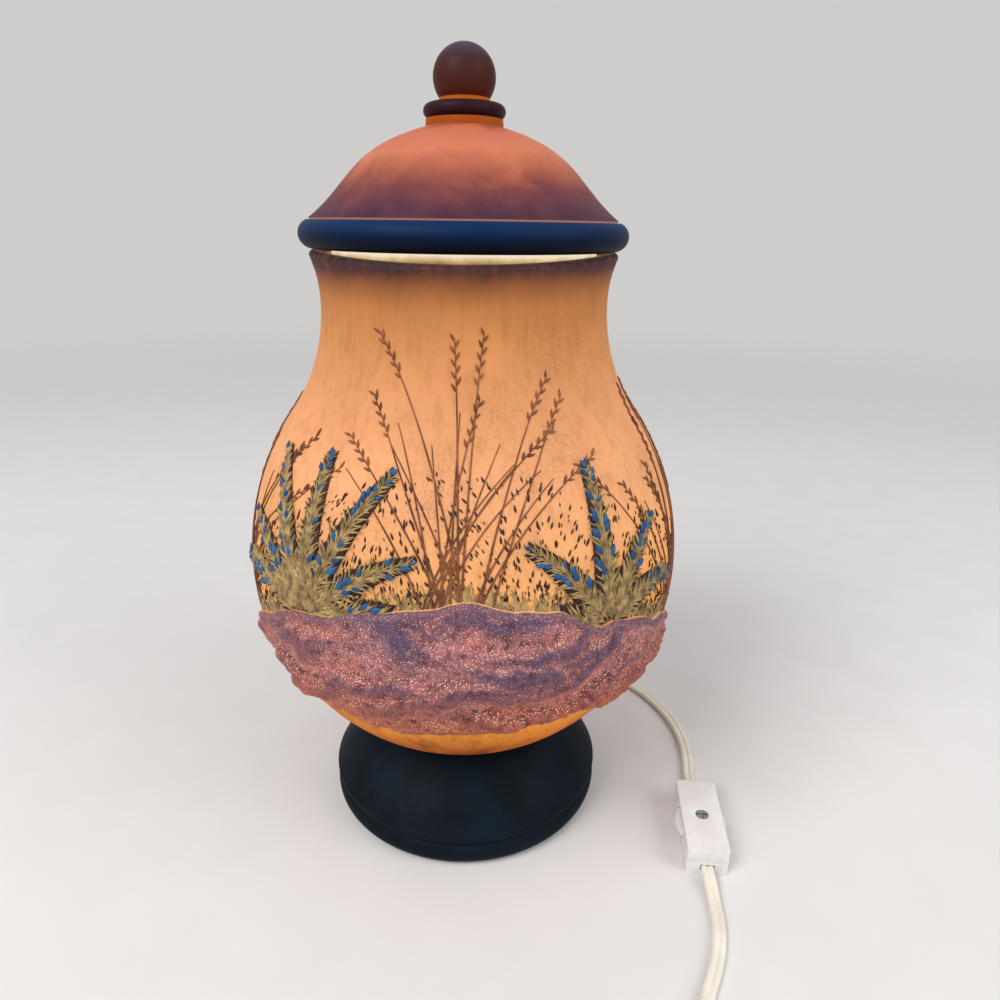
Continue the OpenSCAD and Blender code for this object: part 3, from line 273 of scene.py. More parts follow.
# the tail stays level for the first steps and then drops to the plug
TAIL_STEPS, TAIL_LEVEL, TAIL_DROP = 8, 2, 5
tail_from = Vector((COIL_AT.x, COIL_AT.y - COIL_OUT_R, COIL_HIGH_Z))
tail_to = Vector((PLUG_X, tail_from.y, PLUG_T / 2))
tail = []
for i in range(1, TAIL_STEPS + 1):
    drop = ease((i - TAIL_LEVEL) / TAIL_DROP)
    x = tail_from.x + (tail_to.x - tail_from.x) * i / TAIL_STEPS
    tail.append((x, tail_from.y, tail_from.z + (tail_to.z - tail_from.z) * drop, 90 - 90 * drop))
print("points:", len(to_switch), len(to_coil), len(coil), len(tail))

# %% [markdown]
# ### Sweeping the section
# The listed points are joined by a smooth curve that passes through each of them (Catmull and
# Rom's), and rings of the section are set square to it. The fourth number of a point is the section's
# turn about the route: flat on the floor, on edge in the coil.

# %% A smooth route
RING_STEP = 2.4


def smooth(points, step):
    """Points of a smooth curve through points, about step apart. The numbers after z are carried along."""
    points = [Vector(p) for p in points]
    padded = [2 * points[0] - points[1]] + points + [2 * points[-1] - points[-2]]
    dense = []
    for a, b, c, d in zip(padded, padded[1:], padded[2:], padded[3:]):
        count = max(1, round((c - b).to_3d().length / step))
        for i in range(count):
            t = i / count
            dense.append(0.5 * (2 * b + (c - a) * t + (2 * a - 5 * b + 4 * c - d) * t ** 2
                                + (3 * b - a - 3 * c + d) * t ** 3))
    return dense + [points[-1]]


base_route = smooth(to_switch, RING_STEP)
plug_route = smooth(to_coil + coil + tail, RING_STEP)
print("rings:", len(base_route), len(plug_route))

# %% A tube along a route


def tube_faces(rings, count, closed=False, first=0):
    """Faces between rings of count points. The tube closes on itself, or both its ends get a cap."""
    faces = []
    for i in range(rings if closed else rings - 1):
        here, there = first + i * count, first + (i + 1) % rings * count
        for k in range(count):
            after = (k + 1) % count
            faces.append((here + k, here + after, there + after, there + k))
    if not closed:
        last = first + (rings - 1) * count
        faces += [tuple(range(first, first + count)), tuple(range(last, last + count))]
    return faces


def sweep(route, section, up=Vector((0, 0, 1))):
    """Vertices and faces of a capped tube: section, in millimetres, set along route."""
    verts = []
    for i, point in enumerate(route):
        ahead = (route[min(i + 1, len(route) - 1)] - route[max(i - 1, 0)]).to_3d().normalized()
        side = ahead.cross(up).normalized()
        over = side.cross(ahead)
        turn = math.radians(point[3])
        for x, y in section:
            across = x * math.cos(turn) - y * math.sin(turn)
            above = x * math.sin(turn) + y * math.cos(turn)
            verts.append(point.to_3d() + side * across + over * above)
    return verts, tube_faces(len(route), len(section))


# a core is drawn from -CORE_SPAN to CORE_SPAN degrees; the web is thinner than the cores
CORE_SPAN, CORE_STEP, WEB_SHARE = 124, 31, 0.62


def cord_section():
    """Outline of the flat cord: two round cores and the web between them."""
    core_r = CORD_T / 2
    core_x = CORD_W / 2 - core_r
    right = [(core_x + core_r * math.cos(a), core_r * math.sin(a))
             for a in map(math.radians, range(-CORE_SPAN, CORE_SPAN + 1, CORE_STEP))]
    left = [(-x, -y) for x, y in right]
    web = core_r * WEB_SHARE
    return right + [(0, web)] + left + [(0, -web)]


print("points of the section:", len(cord_section()))

# %% Pieces from points
SHARP_FROM = math.radians(50)


def face_out(mesh):
    """Turns all faces of a mesh to the outside."""
    edit = bmesh.new()
    edit.from_mesh(mesh)
    bmesh.ops.recalc_face_normals(edit, faces=edit.faces)
    edit.to_mesh(mesh)
    edit.free()


def stand(name, mesh):
    """An object of a mesh, in the scene and at its origin."""
    piece = bpy.data.objects.new(name, mesh)
    scene.collection.objects.link(piece)
    return piece


def mesh_piece(name, verts, faces, *materials, finish_of=None):
    """A smooth piece from vertices in millimetres. finish_of gives each face's place in materials."""
    mesh = bpy.data.meshes.new(name)
    mesh.from_pydata([Vector(v) * MM for v in verts], [], faces)
    for material in materials:
        mesh.materials.append(material)
    if finish_of:
        mesh.polygons.foreach_set("material_index", finish_of)
    face_out(mesh)
    mesh.polygons.foreach_set("use_smooth", [True] * len(mesh.polygons))
    mesh.set_sharp_from_angle(angle=SHARP_FROM)
    return stand(name, mesh)


def triangles(piece):
    return sum(len(face.vertices) - 2 for face in piece.data.polygons)


print("edges are sharp from:", round(math.degrees(SHARP_FROM)), "degrees")

# %% Lay the cords


def cord_piece(name, route):
    """A cord along a route: the piece, its path and its length, in metres."""
    piece = mesh_piece(name, *sweep(route, cord_section()), CORD_PVC)
    path = [tuple(p.to_3d() * MM) for p in route]
    length = sum((b - a).to_3d().length for a, b in zip(route, route[1:])) * MM
    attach(piece, "lamp")
    print(name, "length:", round(length, 3), "m, triangles:", triangles(piece))
    return piece, path, length


base_cord, base_cord_path, base_cord_length = cord_piece("cord_from_base", base_route)
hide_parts("cord_to_switch")
plug_cord, plug_cord_path, plug_cord_length = cord_piece("cord_to_plug", plug_route)
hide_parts("cord_to_coil", "cord_coil", "cord_tail")

# %% [markdown]
# ## The jar's curve
# The jar was slip-cast in a turned mould, so its wall is a curve spun round the axis. Four arcs that
# meet without a corner give it: under the belly, the shoulder, the hollow neck and the flared rim. The
# same curve later tells each raised stem and leaf where the wall is and which way it faces.

# %% The jar's curve
BELLY_R, BELLY_Z = 86.3, 120
LOW_ROUND = 87.97
SHOULDER_ROUND, SHOULDER_END_Z = 100, 178.9
NECK_R, NECK_Z = 53.7, 220
NECK_ROUND, FLARE_ROUND = 69.7, 46.5
RIM_Z, RIM_SADDLE = 237.7, 546.8
JAR_WALL = 4.5


def jar_radius(z):
    """Outer radius of the jar at a height, in millimetres."""
    if z < BELLY_Z:
        return BELLY_R - LOW_ROUND + math.sqrt(LOW_ROUND ** 2 - (z - BELLY_Z) ** 2)
    if z < SHOULDER_END_Z:
        return BELLY_R - SHOULDER_ROUND + math.sqrt(SHOULDER_ROUND ** 2 - (z - BELLY_Z) ** 2)
    turn = NECK_ROUND if z < NECK_Z else FLARE_ROUND
    return NECK_R + turn - math.sqrt(turn ** 2 - (z - NECK_Z) ** 2)


def jar_ways(azimuth, z):
    """Directions round the jar, up its wall and out of it."""
    step = 0.01
    lean = (jar_radius(z + step) - jar_radius(z - step)) / (2 * step)
    around = Vector((-math.sin(azimuth), math.cos(azimuth), 0))
    up = Vector((lean * math.cos(azimuth), lean * math.sin(azimuth), 1)).normalized()
    return around, up, around.cross(up)


def on_jar(azimuth, z, lift=0.0):
    """A point on the jar's wall, or lift millimetres out of it."""
    r = jar_radius(z)
    wall = Vector((r * math.cos(azimuth), r * math.sin(azimuth), z))
    return wall + lift * jar_ways(azimuth, z)[2]


print("radius at belly, neck, rim:", [round(jar_radius(z), 1) for z in (BELLY_Z, NECK_Z, RIM_Z)])

# %% [markdown]
# ## Lit bisque
# Bisque is clay fired once and left without glaze: dry, faintly grainy and thin enough here to let the
# bulb's light through. The decorator sprayed it with thin stains, darkest under the rim. A light behind
# a stained wall looks like a wall that shines in its own colour, so half of each colour is paint and
# half is glow. The colours follow the height, with soft clouds so that no edge is a ruled line. Towards
# the foot, where the jar sits on the base, they darken with painted shade.

# %% Lit bisque
JAR_LOW_Z, JAR_HIGH_Z = 38, 238
# clouds add a share of the height to each place, on average CLOUD_LIFT millimetres
CLOUD_SHARE, CLOUD_LIFT = 0.04, 4


def jar_share(z):
    """Height on the jar as a ramp's place, 0 to 1."""
    return (z - JAR_LOW_Z) / (JAR_HIGH_Z - JAR_LOW_Z)


# stains by height; the dark stops at the foot are painted shade where the jar sits on the base
BISQUE_STAINS_AND_FOOT_SHADE = [
    (40, "#702c04"), (54, "#a24c08"), (66, "#cc6c14"), (78, "#ec9430"), (110, "#f8ae58"),
    (150, "#f8b074"), (168, "#f4ac78"), (184, "#e8a06c"), (200, "#de965e"), (212, "#d48c52"),
    (222, "#c07a44"), (229, "#905630"), (233, "#4a2a2a"), (236, "#30222a"),
]
BISQUE, tree, shader, place = finish("stained_translucent_bisque_and_foot_shade", Roughness=0.7, Specular_IOR_Level=0.2,
                                      Emission_Strength=0.52)
height = add(tree, "ShaderNodeSeparateXYZ", [place]).outputs["Z"]
# clouds about a thumb wide move each colour's edge up and down by a few millimetres
clouds = add(tree, "ShaderNodeTexNoise", {"Vector": place, "Scale": per_mm(26), "Detail": 4.0})
share = add(tree, "ShaderNodeMapRange",
            [height, (JAR_LOW_Z + CLOUD_LIFT) * MM, (JAR_HIGH_Z + CLOUD_LIFT) * MM])
cloudy = add(tree, "ShaderNodeMath", [clouds, CLOUD_SHARE, share], operation="MULTIPLY_ADD")
# the stains and, at the foot, painted shade, by height
stain = add(tree, "ShaderNodeValToRGB", {"Fac": cloudy},
            [(jar_share(z), code) for z, code in BISQUE_STAINS_AND_FOOT_SHADE])
print("bisque stops:", len(BISQUE_STAINS_AND_FOOT_SHADE))

# %% Specks, streaks and drips on the bisque
# the sprayed stain lands in specks, drawn at 0.8 mm, thicker in some patches and behind the growth below
specks = add(tree, "ShaderNodeTexNoise", {"Vector": place, "Scale": per_mm(0.8), "Detail": 2.0})
speck_mask = add(tree, "ShaderNodeValToRGB", {"Fac": specks}, [(0.36, "#ffffff"), (0.5, "#000000")])
patches = add(tree, "ShaderNodeTexNoise", {"Vector": place, "Scale": per_mm(38), "Detail": 3.0})
patch_mask = add(tree, "ShaderNodeMapRange", [patches, 0.45, 0.72, 0.04, 0.28])
stipple = add(tree, "ShaderNodeMapRange", [height, 150 * MM, 195 * MM, 2.4, 1.0])
stippled = add(tree, "ShaderNodeMath", [patch_mask, stipple], operation="MULTIPLY")
speckled = add(tree, "ShaderNodeMath", [speck_mask, stippled], operation="MULTIPLY")
sprayed = add(tree, "ShaderNodeMix", {0: speckled, 6: stain, 7: rgb("#9a5830")}, data_type="RGBA")
# the brush left faint upright streaks about 3 mm wide
upright = add(tree, "ShaderNodeMapping", {"Vector": place, "Scale": (1, 1, 0.12)})
streaks = add(tree, "ShaderNodeTexNoise",
              {"Vector": upright, "Scale": per_mm(3), "Detail": 4.0, "Roughness": 0.65})
streak_share = add(tree, "ShaderNodeMapRange", [streaks, 0.48, 0.75, 0.0, 0.32])
brushed = add(tree, "ShaderNodeMix", {0: streak_share, 6: sprayed, 7: rgb("#96542c")}, data_type="RGBA")
# below the slip, brown wash ran down to the base and dried in drips
drips = add(tree, "ShaderNodeTexNoise",
            {"Vector": upright, "Scale": per_mm(16), "Detail": 3.0, "Roughness": 0.6})
drip_mask = add(tree, "ShaderNodeMapRange", [drips, 0.5, 0.66, 0.0, 0.7])
under_slip = add(tree, "ShaderNodeMapRange", [height, 84 * MM, 92 * MM, 1.0, 0.0])
drip_share = add(tree, "ShaderNodeMath", [drip_mask, under_slip], operation="MULTIPLY")
washed = add(tree, "ShaderNodeMix", {0: drip_share, 6: brushed, 7: rgb("#6a2e0c")}, data_type="RGBA")
print("nodes so far:", len(tree.nodes))

# %% Light through the bisque
# broad thin and thick places in the wall let more or less light through
thickness = add(tree, "ShaderNodeMapRange", [patches, 0.3, 0.7, 1.04, 0.86])
glow = add(tree, "ShaderNodeHueSaturation", {"Value": thickness, "Color": washed})
paint = add(tree, "ShaderNodeHueSaturation", {"Value": 0.45, "Color": glow})
relief = add(tree, "ShaderNodeBump", {"Height": specks, "Distance": 0.06 * MM, "Strength": 0.4})
connect(tree, shader, {"Base Color": paint, "Emission Color": glow, "Normal": relief})
print("bisque nodes:", len(tree.nodes))

# %% [markdown]
# ## Bare bisque
# Inside, the jar was never painted, and the bulb lights it from close by, so its colours are painted
# light: brightest level with the bulb, darker towards the floor and the lip. This finish and those of the
# lid come from one recipe: a colour for each height, edges that cloud over, and a share of glow.

# %% Bare bisque


def lit_stain(name, stops, low_z, high_z, glow, cloud_mm, sway, roughness=0.5):
    """Stain and painted light that change with height, in millimetres, and cloud over; a share is glow."""
    material, tree, shader, place = finish(name, Roughness=roughness, Specular_IOR_Level=0.06,
                                           Emission_Strength=glow)
    height = add(tree, "ShaderNodeSeparateXYZ", [place]).outputs["Z"]
    share = add(tree, "ShaderNodeMapRange", [height, low_z * MM, high_z * MM, -sway / 2, 1 - sway / 2])
    clouds = add(tree, "ShaderNodeTexNoise",
                 {"Vector": place, "Scale": per_mm(cloud_mm), "Detail": 5.0, "Roughness": 0.6,
                  "Distortion": 0.6})
    cloudy = add(tree, "ShaderNodeMath", [clouds, sway, share], operation="MULTIPLY_ADD")
    colour = add(tree, "ShaderNodeValToRGB", {"Fac": cloudy},
                 [((z - low_z) / (high_z - low_z), code) for z, code in stops])
    paint = add(tree, "ShaderNodeHueSaturation", {"Value": 1 - glow, "Color": colour})
    # brushed and sprayed stain dries with a fine tooth, drawn at 0.7 mm
    tooth = add(tree, "ShaderNodeTexNoise", {"Vector": place, "Scale": per_mm(0.7), "Detail": 3.0})
    relief = add(tree, "ShaderNodeBump", {"Height": tooth, "Distance": 0.05 * MM, "Strength": 0.4})
    connect(tree, shader, {"Base Color": paint, "Emission Color": colour, "Normal": relief})
    return material


# bare bisque in painted light: brightest level with the bulb, darker towards the floor and the lip
INSIDE = lit_stain("bare_bisque_inside", [
    (45, "#cc8034"), (80, "#f0ac5c"), (130, "#ffce8c"), (190, "#eeb678"), (232, "#c08a58"),
    (237, "#4a2e28")], 38, 240, 0.5, 30, 0.08, 0.7)
print("inside:", INSIDE.name)

# %% [markdown]
# ## The jar
# The jar is one closed section spun round the axis: foot ring, outer wall, a rounded lip, inner wall
# and floor. The paint ends just inside the lip. Two things keep the jar from looking machined: the rim
# sags a little at the front and the back, as thin rims do in the kiln, and the wall is up to a quarter
# of a millimetre uneven.

# %% Spin a section


def revolve(profile, count, shape=None):
    """Vertices and faces of (radius, height) pairs turned about the axis. It closes on itself or at poles."""
    verts, rows = [], []
    for r, z in profile:
        pole = r < 0.001
        first = len(verts)
        rows.append([first] * count if pole else list(range(first, first + count)))
        for k in range(1 if pole else count):
            azimuth = 2 * math.pi * k / count
            ring_r, ring_z = shape(r, z, azimuth) if shape else (r, z)
            verts.append((ring_r * math.cos(azimuth), ring_r * math.sin(azimuth), ring_z))
    pairs = list(zip(rows, rows[1:]))
    if profile[0][0] > 0.001:
        pairs.append((rows[-1], rows[0]))
    faces = []
    for low, high in pairs:
        for k in range(count):
            after = (k + 1) % count
            # a pole's doubled corner drops out and leaves a triangle
            faces.append(tuple(dict.fromkeys((low[k], low[after], high[after], high[k]))))
    return verts, faces


def arc(middle, radius, start, end, steps):
    """Points of an arc in the section, from start to end degrees."""
    angles = [math.radians(start + (end - start) * i / steps) for i in range(steps + 1)]
    return [(middle[0] + radius * math.cos(a), middle[1] + radius * math.sin(a)) for a in angles]


print("faces of a turned square ring:", len(revolve([(1, 0), (2, 0), (2, 1), (1, 1)], 8)[1]))

# %% The jar
SEAT_Z, FOOT_Z, FLOOR_Z = 38, 40.5, 45.5
FOOT_R, FOOT_IN_R, HOLE_R = 36, 30, 5.15
LIP_R, LIP_STEPS = 1.7, 6
# rows of the lip's inner side that are left bare
BARE_ROWS = 4
# the wall's unevenness, how far apart its hollows are, and how far below the rim it ends
UNEVEN, UNEVEN_ACROSS, EVEN_RIM = 0.25, 34, 6
JAR_RINGS, JAR_SIDES = 100, 288


def kiln_sag(r, z, azimuth):
    """The rim's sag at front and back, and the wall's small unevenness, always inwards."""
    if z > NECK_Z:
        y = r * math.sin(azimuth)
        top = RIM_Z - RIM_SADDLE + math.sqrt(RIM_SADDLE ** 2 - y ** 2)
        z = NECK_Z + (z - NECK_Z) * (top - NECK_Z) / (RIM_Z - NECK_Z)
    if FLOOR_Z < z < RIM_Z - EVEN_RIM:
        spot = Vector((r * math.cos(azimuth), r * math.sin(azimuth), z)) / UNEVEN_ACROSS
        r -= UNEVEN * (0.5 + 0.5 * noise.noise(spot))
    return r, z


wall_z = [FOOT_Z + (RIM_Z - LIP_R - FOOT_Z) * i / JAR_RINGS for i in range(JAR_RINGS + 1)]
outside = [(jar_radius(z), z) for z in wall_z]
inner_points = [on_jar(0, z, -JAR_WALL) for z in wall_z]
inside = [(p.x, p.z) for p in inner_points if FLOOR_Z < p.z < RIM_Z - LIP_R]
lip = arc((outside[-1][0] - LIP_R, RIM_Z - LIP_R), LIP_R, 0, 90, LIP_STEPS)
lip += arc((inside[-1][0] + LIP_R, RIM_Z - LIP_R), LIP_R, 90, 180, LIP_STEPS)
foot = [(HOLE_R, FOOT_Z), (FOOT_IN_R, FOOT_Z), (FOOT_IN_R, SEAT_Z), (FOOT_R, SEAT_Z)]
jar_section = foot + outside + lip[1:] + inside[::-1] + [(inside[0][0], FLOOR_Z), (HOLE_R, FLOOR_Z)]
painted_rows = len(foot + outside + lip) - BARE_ROWS
jar_finish = [int(row > painted_rows) for row in range(len(jar_section)) for _ in range(JAR_SIDES)]
jar = mesh_piece("jar_wall", *revolve(jar_section, JAR_SIDES, kiln_sag), BISQUE, INSIDE,
                 finish_of=jar_finish)
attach(jar, "lamp")
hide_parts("jar")
print("jar triangles:", triangles(jar))

# %% [markdown]
# ## Glitter paint
# Round the belly lies a band of thick slip. It was painted mauve, and glitter was shaken on while it was
# wet: it lies thick in the fields and thin on the steep ridges. Light is painted over the mauve: a warm
# glow in the fields between the ridges, cool violet on the ridges, a pale glow on the bare upper edge
# and painted shade in the hollows. The band warms with painted glow towards its foot, where the wall is
# thin, and the glitter's sparkle is a painted glint. Each point of the mesh remembers how near it is to a
# ridge and to a hollow, in two attributes, and the material reads them.

# %% Glitter paint
GLITTER, tree, shader, place = finish("glittered_mauve_slip", Roughness=0.6, Specular_IOR_Level=0.15,
                                       Emission_Strength=0.24)
# painted light over the mauve: cool violet near a ridge, a warm glow in the fields, a pale glow at the bare
# edge
ridge = add(tree, "ShaderNodeAttribute", attribute_name="ridge").outputs["Fac"]
brush = add(tree, "ShaderNodeTexNoise",
            {"Vector": place, "Scale": per_mm(6), "Detail": 6.0, "Roughness": 0.65})
brushed = add(tree, "ShaderNodeMath", [brush, 0.7, ridge], operation="MULTIPLY_ADD")
slip = add(tree, "ShaderNodeValToRGB", {"Fac": brushed}, [
    (0.0, "#f0b870"), (0.12, "#c27866"), (0.3, "#b26c6a"), (0.45, "#9c6268"), (0.75, "#74505e"),
    (1.0, "#5a465e")])
# warmer and cooler stretches a hand wide
drift = add(tree, "ShaderNodeTexNoise", {"Vector": place, "Scale": per_mm(45), "Detail": 2.0})
warmth = add(tree, "ShaderNodeMapRange", [drift, 0.42, 0.65, 0.0, 0.3])
height = add(tree, "ShaderNodeSeparateXYZ", [place]).outputs["Z"]
# towards the band's foot the colour warms with painted glow
low = add(tree, "ShaderNodeMapRange", [height, 84 * MM, 110 * MM, 0.85, 0.0])
warm_share = add(tree, "ShaderNodeMath", [warmth, low], operation="MAXIMUM")
warmed = add(tree, "ShaderNodeMix", {0: warm_share, 6: slip, 7: rgb("#ac5636")}, data_type="RGBA")
# painted shade: the hollow attribute darkens the colour in hollows, grain pits and along the foot
hollow = add(tree, "ShaderNodeAttribute", attribute_name="hollow").outputs["Fac"]
sunk = add(tree, "ShaderNodeMath", [hollow, 0.75], operation="MULTIPLY")
stained = add(tree, "ShaderNodeMix", {0: sunk, 6: warmed, 7: rgb("#482630")}, data_type="RGBA")
# flakes of 0.3 mm are drawn in cells of 0.5 mm, and their sparkle is a painted glint;
# each cell's own random colour says how bright its flake is
flakes = add(tree, "ShaderNodeTexVoronoi", {"Vector": place, "Scale": per_mm(0.5)})
bright = add(tree, "ShaderNodeMapRange", [flakes.outputs["Color"], 0.4, 0.75, 0.0, 1.0])
round_flake = add(tree, "ShaderNodeMath", [flakes.outputs["Distance"], 0.4], operation="LESS_THAN")
strewn = add(tree, "ShaderNodeMapRange", [brushed, 0.35, 1.0, 1.0, 0.25])
flake = add(tree, "ShaderNodeMath", [bright, round_flake], operation="MULTIPLY")
flake = add(tree, "ShaderNodeMath", [flake, strewn], operation="MULTIPLY")
glittered = add(tree, "ShaderNodeMix", {0: flake, 6: stained, 7: rgb("#ffd0b4")}, data_type="RGBA")
paint = add(tree, "ShaderNodeHueSaturation", {"Value": 0.74, "Color": glittered})
relief = add(tree, "ShaderNodeBump", {"Height": brush, "Distance": 0.7 * MM, "Strength": 0.7})
connect(tree, shader, {"Base Color": paint, "Emission Color": glittered, "Normal": relief})
print("glitter:", GLITTER.name)

# %% [markdown]
# ## The slip band
# The band's upper edge is an arch, high at the front and the back and low at the sides, as in the solid
# jar, and the potter's thumb left rounded bumps along it. Below it the slip was pushed up into laps: each
# rises slowly, then drops behind its ridge. Three families of laps slant across each other and fade in
# and out. The rows of the mesh follow the edge, so the lip stays crisp.

# %% The band's edges
SLIP_LOW_Z, SLIP_HIGH_Z, SLIP_SIDE_Z = 80, 134, 98
SLIP_ARCH_R = ((SLIP_HIGH_Z - SLIP_SIDE_Z) ** 2 + BELLY_R ** 2) / (2 * (SLIP_HIGH_Z - SLIP_SIDE_Z))
# the bumps of the edge and the waves of the foot: height, number round the jar and start
EDGE_BUMPS, EDGE_DROP, EDGE_ROUGH = [(3.2, 3.5, 0.4), (1.8, 8.5, 2.0)], 3, 1.3
FOOT_WAVES, FOOT_ROUGH = [(1.6, 5, 1), (0.9, 11, 0)], 1.8


def slip_arch(azimuth):
    """Height of the plain arch."""
    side = BELLY_R * math.cos(azimuth)
    return SLIP_HIGH_Z - SLIP_ARCH_R + math.sqrt(SLIP_ARCH_R ** 2 - side ** 2)


def slip_edge(azimuth):
    """Height of the band's upper edge: the arch, with rounded bumps and a little unevenness on it."""
    bumps = sum(rise * abs(math.sin(count * azimuth + start)) for rise, count, start in EDGE_BUMPS)
    spot = Vector((math.cos(azimuth), math.sin(azimuth), 0)) * 9
    return slip_arch(azimuth) - EDGE_DROP + bumps + EDGE_ROUGH * noise.noise(spot)


def slip_foot(azimuth):
    """Height of the band's wavy lower edge."""
    waves = sum(rise * math.sin(count * azimuth + start) for rise, count, start in FOOT_WAVES)
    spot = Vector((math.cos(azimuth), math.sin(azimuth), 2)) * 14
    return SLIP_LOW_Z + waves + FOOT_ROUGH * noise.noise(spot)


print("edge in front and at the side:", [round(slip_edge(a), 1) for a in (-math.pi / 2, 0)], "mm")

# %% Laps
# where a lap's ridge and hollow lie in its spacing, and how far their painted light and shade reach
RIDGE_AT, HOLLOW_AT = 0.76, 0.93
RIDGE_FRONT, RIDGE_BACK, HOLLOW_REACH = 0.24, 0.06, 0.07
# each family's spacing, slant, waves round the jar and wander
LAPS = [(23, 12, 2, 11), (31, -17, 3, 13), (15, 9, 5, 9)]
# the radius they are drawn at, the first one's start, and how far apart they stray and fade
LAP_R, LAP_START, STRAY_ACROSS, FINE_ACROSS, FADE_ACROSS = 86, 6, 25, 8, 36


def lap(height, spacing):
    """How far out a lap stands, how near its ridge is and how near the hollow behind it, all 0 to 1."""
    part = height / spacing % 1
    rise = ease(part / RIDGE_AT) if part < RIDGE_AT else 1 - ease((part - RIDGE_AT) / (1 - RIDGE_AT))
    from_hollow = min(part + 1 - HOLLOW_AT, abs(part - HOLLOW_AT))
    reach = RIDGE_FRONT if part < RIDGE_AT else RIDGE_BACK
    near_ridge = math.exp(-(abs(part - RIDGE_AT) / reach) ** 1.6)
    return rise, near_ridge, math.exp(-(from_hollow / HOLLOW_REACH) ** 2)


def folds(azimuth, z):
    """The tallest of the three families of laps at a place, and how near its ridge and hollow are."""
    spot = Vector((LAP_R * math.cos(azimuth), LAP_R * math.sin(azimuth), z))
    here = [0, 0, 0]
    for number, (spacing, slant, waves, wander) in enumerate(LAPS):
        stray = noise.noise(spot / STRAY_ACROSS + Vector((0, 0, 9 * number)))
        stray += 0.35 * noise.noise(spot / FINE_ACROSS)
        bent = z + slant * math.sin(waves * azimuth + number) + wander * stray
        faded = noise.noise(spot / FADE_ACROSS + Vector((5 * number, 3, 0)))
        fade = min(1, max(0, 0.5 + 1.9 * faded))
        here = max(here, [share * fade for share in lap(bent + LAP_START, spacing)])
    return here


print("rise, ridge and hollow in front:", [round(v, 2) for v in folds(-math.pi / 2, BELLY_Z)])

# %% Build the band
SLIP_SIDES, SLIP_ROWS = 860, 76
LEFT_LIMIT = -cad_box[0][0] / MM - 0.02
# how deep the band's back lies in the wall, and in how many rows it follows the wall
ROOT_DEPTH, ROOT_ROWS = 0.9, 8
# rows of the lip: below the edge, and out of the wall
LIP_ROWS = [(0.0, 0.7), (0.25, 1.6), (0.8, 2.3), (1.7, 2.7)]
# the coat's plain height, a lap's, and height and spacing of the lumps and of the grain
COAT, LAP_RISE, THINNEST = 0.9, 3.8, 0.3
LUMP, LUMP_ACROSS, GRAIN, GRAIN_ACROSS = 1.0, 6, 0.8, 2.6
# the ridge attribute's value on the bare edge, where it gives a pale painted glow, and on the lip below
# it, painted cool like a ridge
EDGE_TONE, LIP_TONE = -0.6, 0.5


def held_in(azimuth, z, out):
    """A lift, eased off on the left side so that the band stays within the jar's reach there."""
    if math.cos(azimuth) > -0.5:
        return out
    room = LEFT_LIMIT / -math.cos(azimuth) - jar_radius(z)
    return room * (1 - math.exp(-out / room))


slip_points, ridges, hollows = [], [], []
for k in range(SLIP_SIDES):
    azimuth = 2 * math.pi * k / SLIP_SIDES
    edge, foot = slip_edge(azimuth), slip_foot(azimuth)
    below, lip_out = edge - LIP_ROWS[-1][0], LIP_ROWS[-1][1]
    column = [(edge, -ROOT_DEPTH, EDGE_TONE, 0), (edge, LIP_ROWS[0][1], EDGE_TONE, 0)]
    column += [(edge - d, out, LIP_TONE, 0) for d, out in LIP_ROWS[1:]]
    for i in range(1, SLIP_ROWS + 1):
        t = i / SLIP_ROWS
        z = below + (foot - below) * t
        rise, near, sunk = folds(azimuth, z)
        spot = on_jar(azimuth, z)
        grain = noise.noise(spot / GRAIN_ACROSS)
        out = COAT + LAP_RISE * rise + LUMP * noise.noise(spot / LUMP_ACROSS) + GRAIN * grain
        # the lip runs into the coat, and the coat thins out towards its foot
        out = lip_out + (out - lip_out) * min(1, 6 * t)
        out = max(THINNEST, out * min(1, 8 * (1 - t) + 0.25))
        # painted shade darkens the hollows, the pits of the grain and the foot
        sunk = max(sunk, -1.5 * grain, 24 * t - 23.2)
        column.append((z, out, max(near, LIP_TONE - 8 * t), sunk))
    # the band's back follows the wall up again, so that it stays inside the wall's thickness
    column += [(foot + (edge - foot) * i / ROOT_ROWS, -ROOT_DEPTH, 0, 0.8) for i in range(ROOT_ROWS)]
    for z, out, near, sunk in column:
        slip_points.append(on_jar(azimuth, z, held_in(azimuth, z, out)))
        ridges.append(near)
        hollows.append(sunk)
slip_faces = tube_faces(SLIP_SIDES, len(column), closed=True)
slip_band = mesh_piece("slip_band", slip_points, slip_faces, GLITTER)
slip_band.data.attributes.new("ridge", "FLOAT", "POINT").data.foreach_set("value", ridges)
slip_band.data.attributes.new("hollow", "FLOAT", "POINT").data.foreach_set("value", hollows)
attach(slip_band, "lamp")
print("slip band triangles:", triangles(slip_band))

# %% [markdown]
# ## Trailed lines and leaves
# Above the band the jar carries grasses and leafy sprays. The lines are trailed slip, a thin bead squeezed
# from a bag, stained brown. The leaves are pressed on one by one in coats: a dark outline, olive strands
# and here and there a thick dab of blue. Hundreds of like shapes on a curved wall are work for Geometry
# Nodes: the script only says where each stem runs and where each leaf sits. The sprays' stems follow the
# rule that shapes the solid jar's relief: they leave one root in a fan, droop as they go and are shorter
# towards the sides.

# %% Lines and leaves on the wall
LEAF_THICK = 2.2
GROWTH_TOP_Z = NECK_Z - 6


def grow(azimuth, z, lean, bend, length, step=2.0):
    """A line on the wall: (azimuth, z, lean) points from a root. Lean is in radians from upright."""
    line = []
    for i in range(round(length / step) + 1):
        line.append((azimuth, z, lean))
        _, up, _ = jar_ways(azimuth, z)
        azimuth += step * math.sin(lean) / jar_radius(z)
        z += step * math.cos(lean) * up.z
        lean += bend * step / length
        if z > GROWTH_TOP_Z:
            break
    return line


